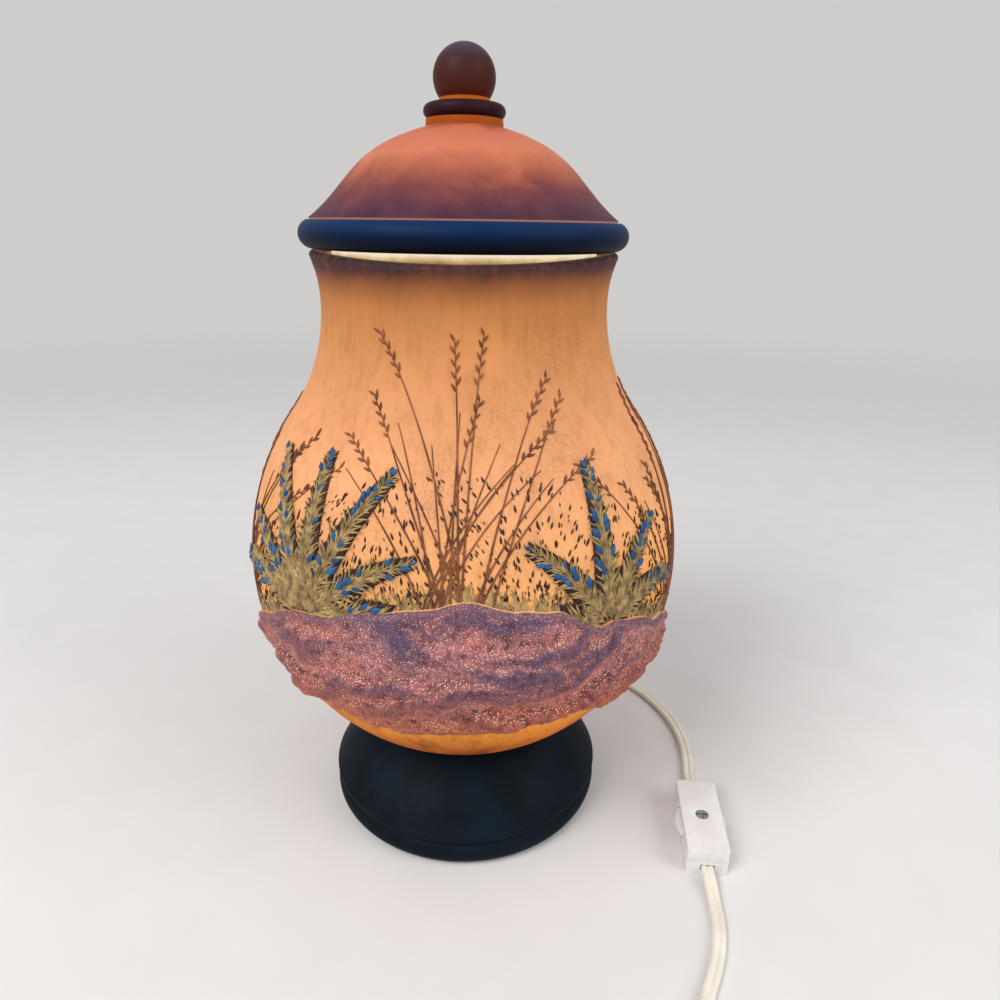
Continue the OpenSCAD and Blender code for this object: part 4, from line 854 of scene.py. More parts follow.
def trail(line, thick, thin):
    """A line as a stem's points and thicknesses, from thick to thin."""
    last = max(1, len(line) - 1)
    beads = []
    for i, (azimuth, z, _) in enumerate(line):
        point = on_jar(azimuth, z, 0.1)
        point.x = max(point.x, thick - LEFT_LIMIT)
        beads.append((point, thick + (thin - thick) * (i / last) ** 0.8))
    return beads


def leaf(azimuth, z, lean, size, store):
    """Keeps a leaf's place, the way out of the wall, the way it points and its length, if there is room."""
    around, up, out = jar_ways(azimuth, z)
    along = around * math.sin(lean) + up * math.cos(lean)
    place = on_jar(azimuth, z)
    low_z = min(z, z + size * along.z) + 1
    if min(place.x, (place + along * size).x) > LEAF_THICK - LEFT_LIMIT and low_z > slip_edge(azimuth):
        store.append((place, out, along, size))


print("points of a 20 mm line:", len(grow(0, BELLY_Z + 20, 0, 0.5, 20)))

# %% Leafy sprays
rng = random.Random(7)
LARGE_SPRAY, SMALL_SPRAY = (7, 66), (5, 54)
SPRAY_SINK, SPRAY_STEP, BARE_POINTS = 4, 1.3, 3
SPRAY_FAN, STEM_DROOP = math.radians(52), 1.1
SIDE_SHORT, ODD_SHORT = 0.22, 0.14
# a leaf's, a strand's and a dab's length low on a stem, and how much shorter it is at the tip
COAT_SIZES = [(9.0, 5.0), (9.4, 5.2), (8.6, 4.2)]
TIP_DAB, DAB_SHARE, DABS_FROM = 4.4, 0.36, 0.25
LEAF_TURN, STRAND_TURNS, STRAND_SWAY = 0.55, (0.2, 0.5, 0.85), 0.15
stems, leaves, strands, dabs, seeds = [], [], [], [], []


def leafy_spray(azimuth, count, reach):
    """Stems that rise from one root and droop, with leaves on both sides of them."""
    for i in range(count):
        side = 2 * i / (count - 1) - 1
        lean = SPRAY_FAN * side
        length = reach * (1 - SIDE_SHORT * abs(side)) * (1 - ODD_SHORT * (i % 2))
        root_z = slip_arch(azimuth) - SPRAY_SINK
        line = grow(azimuth, root_z, lean, STEM_DROOP * lean, length, SPRAY_STEP)
        stems.append(trail(line, 0.7, 0.3))
        for k, (a, z, way) in enumerate(line[BARE_POINTS:]):
            share = k / max(1, len(line) - BARE_POINTS - 1)
            side_of = 1 if k % 2 else -1
            leaf_mm, strand_mm, dab_mm = (size - less * share ** 1.3 for size, less in COAT_SIZES)
            leaf(a, z, way + side_of * LEAF_TURN, leaf_mm, leaves)
            for turn in STRAND_TURNS:
                size = strand_mm * rng.uniform(0.7, 1.1)
                turn += rng.uniform(-STRAND_SWAY, STRAND_SWAY)
                leaf(a, z, way + side_of * turn, size, strands)
            if share > DABS_FROM and rng.random() < DAB_SHARE:
                turn = rng.uniform(0.2, 0.7)
                leaf(a, z, way + side_of * turn, dab_mm * rng.uniform(0.8, 1.15), dabs)
        leaf(*line[-1], TIP_DAB, dabs)


print("stems of a large and a small spray:", LARGE_SPRAY[0], SMALL_SPRAY[0])

# %% Grasses between the sprays
SPRAY_COUNT, SPRAY_TURN = 5, -126
GRASS_BLADES, GRASS_REACH, GRASS_FAN, GRASS_SPREAD = 20, 100, 0.48, 12
SEEDED_FROM, SEEDS_A_BLADE, SEED_TURN = 0.66, 9, 0.5


def tall_grass(azimuth, count, reach, fan):
    """Thin blades that fan out and nod, the longest with seeds near the tip."""
    for i in range(count):
        lean = fan * rng.uniform(-1, 1)
        length = reach * rng.uniform(0.5, 1.0)
        root = azimuth + rng.uniform(-GRASS_SPREAD, GRASS_SPREAD) / BELLY_R
        line = grow(root, slip_edge(root) - 3, lean, 1.5 * lean + rng.uniform(-0.3, 0.3), length)
        stems.append(trail(line, 0.5, 0.16))
        if length > SEEDED_FROM * reach:
            for k, (a, z, way) in enumerate(line[-SEEDS_A_BLADE:]):
                turn = SEED_TURN if k % 2 else -SEED_TURN
                leaf(a, z, way + turn, rng.uniform(2.6, 3.6), seeds)


for i in range(SPRAY_COUNT):
    middle = math.radians(SPRAY_TURN + i * 360 / SPRAY_COUNT)
    leafy_spray(middle, *(SMALL_SPRAY if i % 3 else LARGE_SPRAY))
    tall_grass(middle + math.radians(180 / SPRAY_COUNT), GRASS_BLADES, GRASS_REACH, GRASS_FAN)
print("stems:", len(stems), "leaves:", len(leaves), "strands:", len(strands), "dabs:", len(dabs))

# %% Short growth above the band's edge
TUFTS, TUFT_BLADES, TUFT_STEP = 190, 5, 1.6
TICKS, TICK_ROOM = 3200, 38
tufts, ticks = [], []
for i in range(TUFTS):
    azimuth = 2 * math.pi * (i + rng.uniform(-0.4, 0.4)) / TUFTS
    for k in range(TUFT_BLADES):
        lean = rng.uniform(-0.7, 0.7)
        root = azimuth + rng.uniform(-1.5, 1.5) / BELLY_R
        blade = grow(root, slip_edge(root) - 1.5, lean, 0.6 * lean, rng.uniform(4, 10), TUFT_STEP)
        tufts.append(trail(blade, 0.5, 0.2))
# small slanting nicks, thick near the edge and thinning out above it
for i in range(TICKS):
    azimuth = rng.uniform(-math.pi, math.pi)
    z = slip_edge(azimuth) + 1 + TICK_ROOM * rng.random() ** 1.7
    slant = 0.5 * math.sin(5 * azimuth) + rng.uniform(-0.3, 0.3)
    leaf(azimuth, z, slant, rng.uniform(1.1, 2.8), ticks)
print("tuft blades:", len(tufts), "nicks:", len(ticks))

# %% [markdown]
# ### Stains for the trailed work
# Each coat is a matt underglaze stain. Slip holds more colour where it is thick, so all of them vary a
# little from place to place, and a trace of the jar's light comes through the thin ones.

# %% Stains for the trailed work
# dried slip has a grain, drawn at half a millimetre
COAT_OF_SLIP = {"tooth_mm": 0.5, "tooth_depth": 0.08, "ends": (0.35, 0.66), "tooth_detail": 2.0,
                "Specular_IOR_Level": 0.25}
# name, two tones, size of its clouds, glow and roughness
SLIPS = [("brown_trailed_slip", "#4e2c1c", "#86502f", 9, 0.1, 0.6),
         ("dark_outline_slip", "#24151a", "#3c2420", 4, 0.03, 0.6),
         ("olive_strand_slip", "#6c583a", "#b09462", 3, 0.08, 0.6),
         ("blue_dab_slip", "#163a64", "#2a5a88", 5, 0.04, 0.5)]
BROWN_SLIP, DARK_SLIP, OCHRE_SLIP, BLUE_SLIP = (
    two_tone(*tones, Emission_Strength=glow, Roughness=roughness, **COAT_OF_SLIP)
    for *tones, glow, roughness in SLIPS)
print("stains:", [m.name for m in (BROWN_SLIP, DARK_SLIP, OCHRE_SLIP, BLUE_SLIP)])

# %% [markdown]
# ### A node tree for trailed lines
# Mesh edges become curves, each point carries its own thickness, and a small ring is swept along them.

# %% Node tree for trailed lines


def socket_in(tree, name, kind):
    return tree.interface.new_socket(name, in_out="INPUT", socket_type=kind).identifier


def node_tree(name, **sockets):
    """A geometry node tree with a geometry input and output, and named inputs."""
    tree = bpy.data.node_groups.new(name, "GeometryNodeTree")
    tree.interface.new_socket("Geometry", in_out="INPUT", socket_type="NodeSocketGeometry")
    tree.interface.new_socket("Geometry", in_out="OUTPUT", socket_type="NodeSocketGeometry")
    names = {key: socket_in(tree, key, kind) for key, kind in sockets.items()}
    return tree, names, add(tree, "NodeGroupInput"), add(tree, "NodeGroupOutput")


trail_tree, trail_in, start, end = node_tree(
    "trailed_line", Sides="NodeSocketInt", Finish="NodeSocketMaterial")
lines = add(trail_tree, "GeometryNodeMeshToCurve", {"Mesh": start.outputs["Geometry"]})
width = add(trail_tree, "GeometryNodeInputNamedAttribute", {"Name": "bead_r"}, data_type="FLOAT")
ring = add(trail_tree, "GeometryNodeCurvePrimitiveCircle",
           {"Resolution": start.outputs["Sides"], "Radius": 1.0})
beads = add(trail_tree, "GeometryNodeCurveToMesh",
            {"Curve": lines, "Profile Curve": ring, "Scale": width, "Fill Caps": True})
real = add(trail_tree, "GeometryNodeRealizeInstances", {"Geometry": beads})
dressed = add(trail_tree, "GeometryNodeSetMaterial", {"Geometry": real, "Material": start.outputs["Finish"]})
connect(trail_tree, end, {"Geometry": dressed})
print("nodes:", len(trail_tree.nodes))

# %% Trail the lines


def node_piece(name, verts, edges, fields, tree, values):
    """Points or lines with an attribute for each field, run through a tree and kept as a plain mesh."""
    mesh = bpy.data.meshes.new(name)
    mesh.from_pydata(verts, edges, [])
    for key, kind, rows in fields:
        part = "vector" if kind == "FLOAT_VECTOR" else "value"
        mesh.attributes.new(key, kind, "POINT").data.foreach_set(part, rows)
    piece = stand(name, mesh)
    modifier = piece.modifiers.new("nodes", "NODES")
    modifier.node_group = tree
    for identifier, value in values.items():
        modifier[identifier] = value
    depsgraph = bpy.context.evaluated_depsgraph_get()
    result = bpy.data.meshes.new_from_object(piece.evaluated_get(depsgraph))
    piece.modifiers.remove(modifier)
    piece.data = result
    result.polygons.foreach_set("use_smooth", [True] * len(result.polygons))
    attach(piece, "lamp")
    print(piece.name, "triangles:", triangles(piece))


def trailed_piece(name, trails, material, sides):
    """Beads along trails, each point with its own thickness."""
    verts, edges, widths = [], [], []
    for line in trails:
        first = len(verts)
        verts += [point * MM for point, _ in line]
        widths += [bead * MM for _, bead in line]
        edges += [(first + i, first + i + 1) for i in range(len(line) - 1)]
    node_piece(name, verts, edges, [("bead_r", "FLOAT", widths)], trail_tree,
               {trail_in["Sides"]: sides, trail_in["Finish"]: material})


trailed_piece("trailed_stems", stems, BROWN_SLIP, 6)
trailed_piece("trailed_tufts", tufts, OCHRE_SLIP, 5)

# %% [markdown]
# ### Leaves
# A leaf is drawn once, a millimetre long, and set on hundreds of points. Its height off the wall and its
# pointing come from the attributes of each point: Axes to Rotation turns the two directions into the
# instance's turn. The three coats are three small shapes on the same points.

# %% Shapes of the three coats


def leaf_shape(name, half_width, ribs, thickness, rings):
    """A pointed leaf along +X with a flat back: its face is domed and has ribs across its width."""
    across = 2 * ribs + 2
    verts, faces = [], []
    for i in range(rings + 1):
        t = i / rings
        wide = half_width * math.sin(math.pi * min(0.985, max(0.03, t)) ** 0.8)
        for k in range(across + 1):
            v = 2 * k / across - 1
            dome = 1 - v * v
            rib = 1.0 if k % 2 else 0.55
            height = 0.25 + dome * rib * math.sin(math.pi * min(0.95, t + 0.05))
            verts.append((t, wide * v, thickness * height))
    face_count = len(verts)
    verts += [(x, y, -0.06) for x, y, _ in verts]
    row = across + 1
    for i in range(rings):
        for k in range(across):
            a = i * row + k
            faces.append((a, a + row, a + row + 1, a + 1))
    rim = list(range(row)) + [i * row + across for i in range(1, rings + 1)]
    rim += [rings * row + k for k in range(across - 1, -1, -1)]
    rim += [i * row for i in range(rings - 1, 0, -1)]
    for a, b in zip(rim, rim[1:] + rim[:1]):
        faces.append((a, b, b + face_count, a + face_count))
    faces.append(tuple(v + face_count for v in rim[::-1]))
    used = {v for face in faces for v in face}
    order = {v: i for i, v in enumerate(sorted(used))}
    mesh = bpy.data.meshes.new(name)
    mesh.from_pydata([verts[v] for v in sorted(used)], [], [[order[v] for v in face] for face in faces])
    face_out(mesh)
    return bpy.data.objects.new(name, mesh)


outline_shape = leaf_shape("outline_shape", 0.24, 0, 0.05, 5)
strand_shape = leaf_shape("strand_shape", 0.065, 0, 0.1, 4)
dab_shape = leaf_shape("dab_shape", 0.26, 1, 0.24, 6)
nick_shape = leaf_shape("nick_shape", 0.16, 0, 0.12, 3)
shapes = [outline_shape, strand_shape, dab_shape, nick_shape]
print("faces of a leaf:", [len(s.data.polygons) for s in shapes])

# %% Node tree for leaves
leaf_tree, leaf_in, start, end = node_tree(
    "leaf_coat", Shape="NodeSocketObject", Size="NodeSocketFloat", Finish="NodeSocketMaterial")
shape = add(leaf_tree, "GeometryNodeObjectInfo", {"Object": start.outputs["Shape"]})
out = add(leaf_tree, "GeometryNodeInputNamedAttribute", {"Name": "leaf_out"}, data_type="FLOAT_VECTOR")
along = add(leaf_tree, "GeometryNodeInputNamedAttribute", {"Name": "leaf_along"}, data_type="FLOAT_VECTOR")
length = add(leaf_tree, "GeometryNodeInputNamedAttribute", {"Name": "leaf_length"}, data_type="FLOAT")
turn = add(leaf_tree, "FunctionNodeAxesToRotation", {"Primary Axis": out, "Secondary Axis": along},
           primary_axis="Z", secondary_axis="X")
size = add(leaf_tree, "ShaderNodeMath", [length, start.outputs["Size"]], operation="MULTIPLY")
placed = add(leaf_tree, "GeometryNodeInstanceOnPoints", {
    "Points": start.outputs["Geometry"], "Instance": shape.outputs["Geometry"], "Rotation": turn,
    "Scale": size})
real = add(leaf_tree, "GeometryNodeRealizeInstances", {"Geometry": placed})
dressed = add(leaf_tree, "GeometryNodeSetMaterial", {"Geometry": real, "Material": start.outputs["Finish"]})
connect(leaf_tree, end, {"Geometry": dressed})
print("nodes:", len(leaf_tree.nodes))

# %% Set the leaves


def leaf_piece(name, rows, lift, back, size, shape_object, material):
    """One coat: each leaf is lifted off the wall and moved along its way by back, a share of its length."""
    roots = [(p + out * lift + along * (back * length)) * MM for p, out, along, length in rows]
    fields = [("leaf_out", "FLOAT_VECTOR", [c for row in rows for c in row[1]]),
              ("leaf_along", "FLOAT_VECTOR", [c for row in rows for c in row[2]]),
              ("leaf_length", "FLOAT", [row[3] * MM for row in rows])]
    node_piece(name, roots, [], fields, leaf_tree, {
        leaf_in["Shape"]: shape_object, leaf_in["Size"]: size, leaf_in["Finish"]: material})


leaf_piece("leaf_outlines", leaves, 0.3, -0.08, 1.16, outline_shape, DARK_SLIP)
leaf_piece("leaf_strands", strands, 0.8, 0.0, 1.0, strand_shape, OCHRE_SLIP)
leaf_piece("leaf_dabs", dabs, 1.0, 0.4, 0.6, dab_shape, BLUE_SLIP)
leaf_piece("grass_seeds", seeds, 0.15, 0.0, 1.0, nick_shape, BROWN_SLIP)
leaf_piece("dark_nicks", ticks, 0.05, 0.0, 1.0, nick_shape, DARK_SLIP)
for template in shapes:
    bpy.data.objects.remove(template)

# %% [markdown]
# ## The lid
# The lid is one casting: a flange that drops into the mouth, a round bead, a dome, and a finial of a
# collar and a ball on a short neck. It is spun like the jar. Its colours change at its mouldings, so
# each band of the section is given its own finish.

# %% The lid's finishes
DOME = lit_stain("airbrushed_dome_bisque", [
    (247, "#422836"), (252, "#5a3440"), (257, "#763f3e"), (262, "#a05844"), (269, "#c87456"),
    (276, "#c06a4e"), (280, "#8a4630")], 246, 281, 0.42, 20, 0.5)
# dark blue stain on the bead, with painted shade darkening its underside
BEAD = lit_stain("dark_blue_bead_stain_and_shade", [(238, "#02050c"), (242, "#06142c"), (246, "#0b274c")],
                 236, 249, 0.0, 9, 0.1, 0.5)
# umber stain on the collar and the ball, with a warm painted glow low on the ball and a bluish painted
# highlight on its top
FINIAL = lit_stain("umber_finial_stain_and_painted_light", [
    (281, "#2c121a"), (286, "#2a161e"), (288, "#521c0c"), (292, "#44201a"), (299, "#3e2424"),
    (304, "#463c50")], 280, 305, 0.1, 12, 0.12, 0.45)
BARE_GLOW = lit_stain("bare_glowing_bisque", [
    (234.6, "#9a7040"), (236, "#dcbc86"), (237.2, "#fff0d2"), (248, "#ffdca4"), (280, "#e8a060")],
    228, 290, 0.8, 12, 0.05, 0.6)
GLOW_LINE = lit_stain("thin_glowing_bisque", [(246, "#b07c74"), (250, "#a8705e"), (278, "#9a4612"),
                                              (290, "#b85c1a")], 240, 292, 0.7, 8, 0.1, 0.55)
print("lid finishes:", [m.name for m in (DOME, BEAD, FINIAL, BARE_GLOW, GLOW_LINE)])

# %% The lid's section
FLANGE_R, FLANGE_IN_R, FLANGE_Z, FLANGE_SOFT = 48.6, 45.1, 229, 0.8
BEAD_MID, BEAD_R = (54.9, 243), 5
DOME_Z = 280.2
DOME_PULLS = [(56, 248.2), (39, 261), (42, 272.2), (6.9, DOME_Z)]
DOME_IN_PULLS = [(FLANGE_IN_R, 248), (35, 261), (38, 268.2), (0, 276.2)]
PLINTH_R, COLLAR_Z, COLLAR_R, COLLAR_H = 13.8, 281, 14.5, 5
FINIAL_NECK_R, BALL_R, BALL_Z = 8.8, 10.9, 294.03
BORE_R = 5.5
LID_SIDES = 256


def bezier(pulls, steps):
    """Points of a Bezier curve in the section."""
    a, b, c, d = (Vector(p) for p in pulls)
    points = []
    for i in range(steps + 1):
        t, rest = i / steps, 1 - i / steps
        points.append(tuple(rest ** 3 * a + 3 * t * rest ** 2 * b + 3 * t * t * rest * c + t ** 3 * d))
    return points


dome_in = [p for p in bezier(DOME_IN_PULLS, 20) if p[0] > BORE_R][::-1]
hollow = [(0, BALL_Z), (BORE_R, BALL_Z), (BORE_R, dome_in[0][1])] + dome_in
flange = [(FLANGE_IN_R, FLANGE_Z + FLANGE_SOFT), (FLANGE_IN_R + FLANGE_SOFT, FLANGE_Z),
          (FLANGE_R - FLANGE_SOFT, FLANGE_Z), (FLANGE_R, FLANGE_Z + FLANGE_SOFT),
          (FLANGE_R, BEAD_MID[1] - BEAD_R)]
bead = arc(BEAD_MID, BEAD_R, -90, 68, 22)
groove = [(55.7, 247.3), (55.5, 247.9)]
dome = [p for p in bezier(DOME_PULLS, 36) if p[0] > PLINTH_R]
plinth = [(PLINTH_R, dome[-1][1] + 0.35), (PLINTH_R - 0.2, COLLAR_Z)]
collar = arc((COLLAR_R - COLLAR_H / 2, COLLAR_Z + COLLAR_H / 2), COLLAR_H / 2, -90, 90, 14)
neck = [(FINIAL_NECK_R + 0.5, COLLAR_Z + COLLAR_H), (FINIAL_NECK_R, COLLAR_Z + COLLAR_H + 0.5)]
ball = arc((0, BALL_Z), BALL_R, -math.degrees(math.acos(FINIAL_NECK_R / BALL_R)), 90, 26)
ball[-1] = (0, ball[-1][1])
print("points of the dome and the ball:", len(dome), len(ball))

# %% Spin the lid
# each band of the section with the place of its finish in the lid's list
bands = [(hollow, 3), (flange, 3), (bead, 1), (groove, 4), (dome, 0), (plinth, 4), (collar, 2), (neck, 4),
         (ball, 2)]
lid_section = [point for points, _ in bands for point in points]
# a face takes the finish of the band that its lower edge belongs to
finish_of = [index for points, index in bands for _ in points for _ in range(LID_SIDES)][:-LID_SIDES]
lid = mesh_piece("lid_casting", *revolve(lid_section, LID_SIDES), DOME, BEAD, FINIAL, BARE_GLOW, GLOW_LINE,
                 finish_of=finish_of)
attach(lid, "lid")
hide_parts("lid")
print("lid triangles:", triangles(lid))

# %% [markdown]
# ## Finishes for the working parts
# The base, the socket, the bulb and the fixings keep the shapes of the frame. Each gets a finish that
# says what it is made of: cast and brushed base stain, felt, drawn brass, plated steel, fibre, brown
# moulded resin, copper and lamp glass.

# %% Finishes for the working parts
# nearly black, with slow blue patches and faint lines from the brush
BASE_STAIN = two_tone("brushed_teal_black_stain", "#080e14", "#0d1923", 20, 0.8, 0.08, (1, 1, 5),
                      Roughness=0.55, Specular_IOR_Level=0.06)
# matted wool: dull, with a soft pale edge
FELT = two_tone("pressed_green_felt", "#1a2620", "#2b3a30", 3, 0.5, 0.3, Roughness=0.95, Sheen_Weight=0.4)
# metals with the fine lines of drawing or turning: warm, cool and red
BRASS = two_tone("drawn_brass", "#a8843c", "#d0ab5e", 9, 0.5, 0.02, (1, 1, 12), Metallic=1.0, Roughness=0.3)
STEEL = two_tone("nickel_plated_steel", "#8d9094", "#b6b9bc", 7, 0.5, 0.02, (1, 1, 8),
                 Metallic=1.0, Roughness=0.28)
COPPER = two_tone("stranded_copper", "#a35a34", "#c98050", 4, 0.3, 0.05, (1, 1, 6),
                  Metallic=1.0, Roughness=0.35)
# insulators: papery fibre, shiny clouded resin, dull rubber and smooth dark glass
FIBRE = two_tone("vulcanised_fibre", "#3b2818", "#5a4028", 6, 0.6, 0.08, (1, 1, 4), Roughness=0.85)
RESIN = two_tone("brown_phenolic_resin", "#2a1710", "#3d2418", 8, 0.8, 0.03, Roughness=0.32)
RUBBER = two_tone("moulded_black_rubber", "#141414", "#242424", 6, 0.7, 0.06, Roughness=0.7)
BLACK_GLASS = two_tone("black_cap_glass", "#0a0a0c", "#16161a", 5, 0.9, 0.02, Roughness=0.15)
print("metals:", [m.name for m in (BRASS, STEEL, COPPER)])

# %% Lamp glass
# the bulb's frosted glass glows all over, yellower towards its cap
BULB_LOW_Z, BULB_HIGH_Z = 104, 174
LAMP_GLASS, tree, shader, place = finish("frosted_lamp_glass", Roughness=0.35, Emission_Strength=0.75,
                                          Alpha=0.9)
height = add(tree, "ShaderNodeSeparateXYZ", [place]).outputs["Z"]
share = add(tree, "ShaderNodeMapRange", [height, BULB_LOW_Z * MM, BULB_HIGH_Z * MM])
warm = add(tree, "ShaderNodeValToRGB", {"Fac": share},
           [(0.0, "#f2b45e"), (0.4, "#ffe0a0"), (0.75, "#fff2cc")])
frosted = add(tree, "ShaderNodeHueSaturation", {"Value": 0.25, "Color": warm})
connect(tree, shader, {"Base Color": frosted, "Emission Color": warm})
print("lamp glass nodes:", len(tree.nodes))

# %% Dress the working parts
NODE_FINISHES = {
    BASE_STAIN: ["base"], FELT: ["base_pad"], FIBRE: ["socket_sleeve"], RESIN: ["socket_body"],
    COPPER: ["socket_leads"], BLACK_GLASS: ["bulb_insulator"],
    LAMP_GLASS: ["bulb_glass", "bulb_stem"],
    BRASS: ["nipple", "upper_nut", "socket_cap", "socket_shell", "screw_shell", "centre_contact",
            "terminal_screws", "switch_cam", "switch_contacts", "plug_blades"],
    STEEL: ["lower_washer", "lower_nut", "upper_washer", "socket_set_screw", "bulb_contact", "bulb_cap",
            "bulb_filament", "switch_screw", "switch_nut"],
    CORD_PVC: ["inner_cord", "switch_leads"],
    SWITCH_UREA: ["switch_wheel"],
}
for material, names in NODE_FINISHES.items():
    for name in names:
        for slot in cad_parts[name].material_slots:
            slot.material = material
print("nodes finished:", sum(len(names) for names in NODE_FINISHES.values()))

# %% [markdown]
# ## Moulded edges
# A moulded part never has a knife edge, because the mould's corners are rounded so that it lets go. The
# switch's two half cases are copies of the frame's solids with each sharp edge rounded by a third to
# half a millimetre. Flat neighbours are joined to one face first, so that only real edges are rounded.

# %% Round the switch's edges
# points this close are one point, faces that turn less than this are one face, and edges are sharp from here
SAME_POINT, SAME_FACE, SHARP_EDGE = 0.001, math.radians(2), math.radians(40)


def rounded_copy(name, node, width, material):
    """A copy of a node's solid with its sharp edges rounded, in place of the node."""
    edit = bmesh.new()
    edit.from_mesh(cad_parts[node].data)
    bmesh.ops.remove_doubles(edit, verts=edit.verts, dist=SAME_POINT * MM)
    bmesh.ops.dissolve_limit(edit, angle_limit=SAME_FACE, verts=edit.verts, edges=edit.edges)
    sharp = [e for e in edit.edges if len(e.link_faces) == 2 and e.calc_face_angle() > SHARP_EDGE]
    bmesh.ops.bevel(edit, geom=sharp, offset=width * MM, segments=3, profile=0.5, affect="EDGES",
                    clamp_overlap=True)
    edit.verts.index_update()
    verts = [v.co / MM for v in edit.verts]
    faces = [[v.index for v in face.verts] for face in edit.faces]
    edit.free()
    piece = mesh_piece(name, verts, faces, material)
    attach(piece, "lamp")
    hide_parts(node)
    print(name, "triangles:", triangles(piece))
    return piece


lower_case = rounded_copy("switch_case_lower", "switch_lower_case", 0.3, SWITCH_UREA)
upper_case = rounded_copy("switch_case_upper", "switch_upper_case", 0.45, SWITCH_UREA)

# %% [markdown]
# ## The plug
# The plug is PVC moulded over the blades. Rounded sections set along its axis give it: a relief with ribs
# that lets the cord bend, a waist, and a grip that widens for the fingers. Each section is a
# superellipse, which turns from a circle at the cord to a soft box at the blades.

# %% The plug
PLUG_Y = tail_to.y
GRIP_X, FACE_X = -12, -34
PLUG_SIDES = 64
PLUG_RIBS, PLUG_RIB_PITCH, PLUG_RIB_R, PLUG_RIB_GROWTH = 6, 2.9, 3.75, 0.42
# a rib's own section: along the plug, and out of the rib's radius
RIB_STEPS = [(0, 0), (1.5, 0.2), (1.7, -0.45), (2.5, -0.4), (2.7, 0.2)]


def soft_box(half_w, half_h, power):
    """Points of a superellipse; power 2 is an ellipse, and more is squarer."""
    points = []
    for k in range(PLUG_SIDES):
        a = 2 * math.pi * k / PLUG_SIDES
        c, s = math.cos(a), math.sin(a)
        across = math.copysign(half_w * abs(c) ** (2 / power), c)
        points.append((across, math.copysign(half_h * abs(s) ** (2 / power), s)))
    return points


# place along the plug, half width, half height and squareness
plug_sections = [(PLUG_X, 3.1, 3.1, 2), (PLUG_X - 0.3, 3.6, 3.6, 2)]
for i in range(PLUG_RIBS):
    rib_x = PLUG_X - 1 - i * PLUG_RIB_PITCH
    rib_r = PLUG_RIB_R + PLUG_RIB_GROWTH * i
    plug_sections += [(rib_x - d, rib_r + out, rib_r + out, 2) for d, out in RIB_STEPS]
plug_sections += [(GRIP_X + 1.5, 6.1, 6.0, 2.2), (GRIP_X, 6.6, 6.3, 2.6), (GRIP_X - 2, 7.4, 6.6, 3),
                  (GRIP_X - 5, 9.2, 6.75, 3.4), (GRIP_X - 8, 10.7, 6.85, 3.8), (GRIP_X - 10, 11.3, 6.9, 4),
                  (GRIP_X - 11, 11.0, 6.5, 4), (GRIP_X - 12, 11.0, 6.5, 4), (GRIP_X - 13, 11.4, 6.95, 4.4),
                  (FACE_X + 0.7, 11.4, 6.95, 5), (FACE_X + 0.2, 11.2, 6.75, 5), (FACE_X, 10.6, 6.2, 5)]
plug_points = [(x, PLUG_Y + across, PLUG_T / 2 + above) for x, *sizes in plug_sections
               for across, above in soft_box(*sizes)]
plug = mesh_piece("plug_moulding", plug_points, tube_faces(len(plug_sections), PLUG_SIDES), PLUG_PVC)
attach(plug, "lamp")
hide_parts("plug_body")
print("plug triangles:", triangles(plug))

# %% [markdown]
# ## The tie and the bushing
# A strap of the same PVC holds the coil: a band with round corners and a buckle on top. Where the cord
# leaves the base, a black rubber bushing with ribs keeps it from being bent sharply.

# %% The tie
TIE_W, TIE_CORNER, TIE_SOFT = 5, 2.4, 0.15
BUCKLE_HALF, BUCKLE_SINK, BUCKLE_H, BUCKLE_SOFT = 2, 0.3, 2, 0.4
CORNERS = [(-1, -1), (1, -1), (1, 1), (-1, 1)]
TIE_IN_X = COIL_AT.x - (COIL_IN_R - CORD_T / 2 - COIL_GAP)
TIE_OUT_X = COIL_AT.x - (COIL_IN_R + COIL_PITCH * (COIL_TURNS - 1) / 2 + CORD_T / 2 + COIL_GAP)
TIE_TOP_Z = COIL_HIGH_Z + CORD_W / 2 + COIL_GAP


def soft_loop(inset):
    """A rectangle with round corners in the strap's plane, inset from the strap's outer face."""
    left, right = TIE_OUT_X - TIE_T + inset, TIE_IN_X + TIE_T - inset
    low, high = inset, TIE_TOP_Z + TIE_T - inset
    r = TIE_CORNER - inset
    corners = [((right - r, high - r), 0), ((left + r, high - r), 90), ((left + r, low + r), 180),
               ((right - r, low + r), 270)]
    return [p for middle, turn in corners for p in arc(middle, r, turn, turn + 90, 6)]


half = TIE_W / 2
edge_rows = [(TIE_SOFT, -half), (0, TIE_SOFT - half), (0, half - TIE_SOFT), (TIE_SOFT, half),
             (TIE_T - TIE_SOFT, half), (TIE_T, half - TIE_SOFT), (TIE_T, TIE_SOFT - half),
             (TIE_T - TIE_SOFT, -half)]
loops = [[(x, COIL_AT.y + y, z) for x, z in soft_loop(inset)] for inset, y in edge_rows]
tie_points = [p for loop in loops for p in loop]
tie_faces = tube_faces(len(loops), len(loops[0]), closed=True)
strap_top = TIE_TOP_Z + TIE_T
buckle_x = (TIE_IN_X + TIE_OUT_X) / 2
buckle_rows = [(-BUCKLE_SINK, 0), (BUCKLE_H - BUCKLE_SOFT, 0), (BUCKLE_H, BUCKLE_SOFT)]
tie_faces += tube_faces(len(buckle_rows), len(CORNERS), first=len(tie_points))
tie_points += [(buckle_x + sx * (BUCKLE_HALF - inset), COIL_AT.y + sy * (half - inset), strap_top + up)
               for up, inset in buckle_rows for sx, sy in CORNERS]
tie = mesh_piece("tie_strap", tie_points, tie_faces, PLUG_PVC)
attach(tie, "lamp")
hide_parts("coil_tie")
print("tie triangles:", triangles(tie))

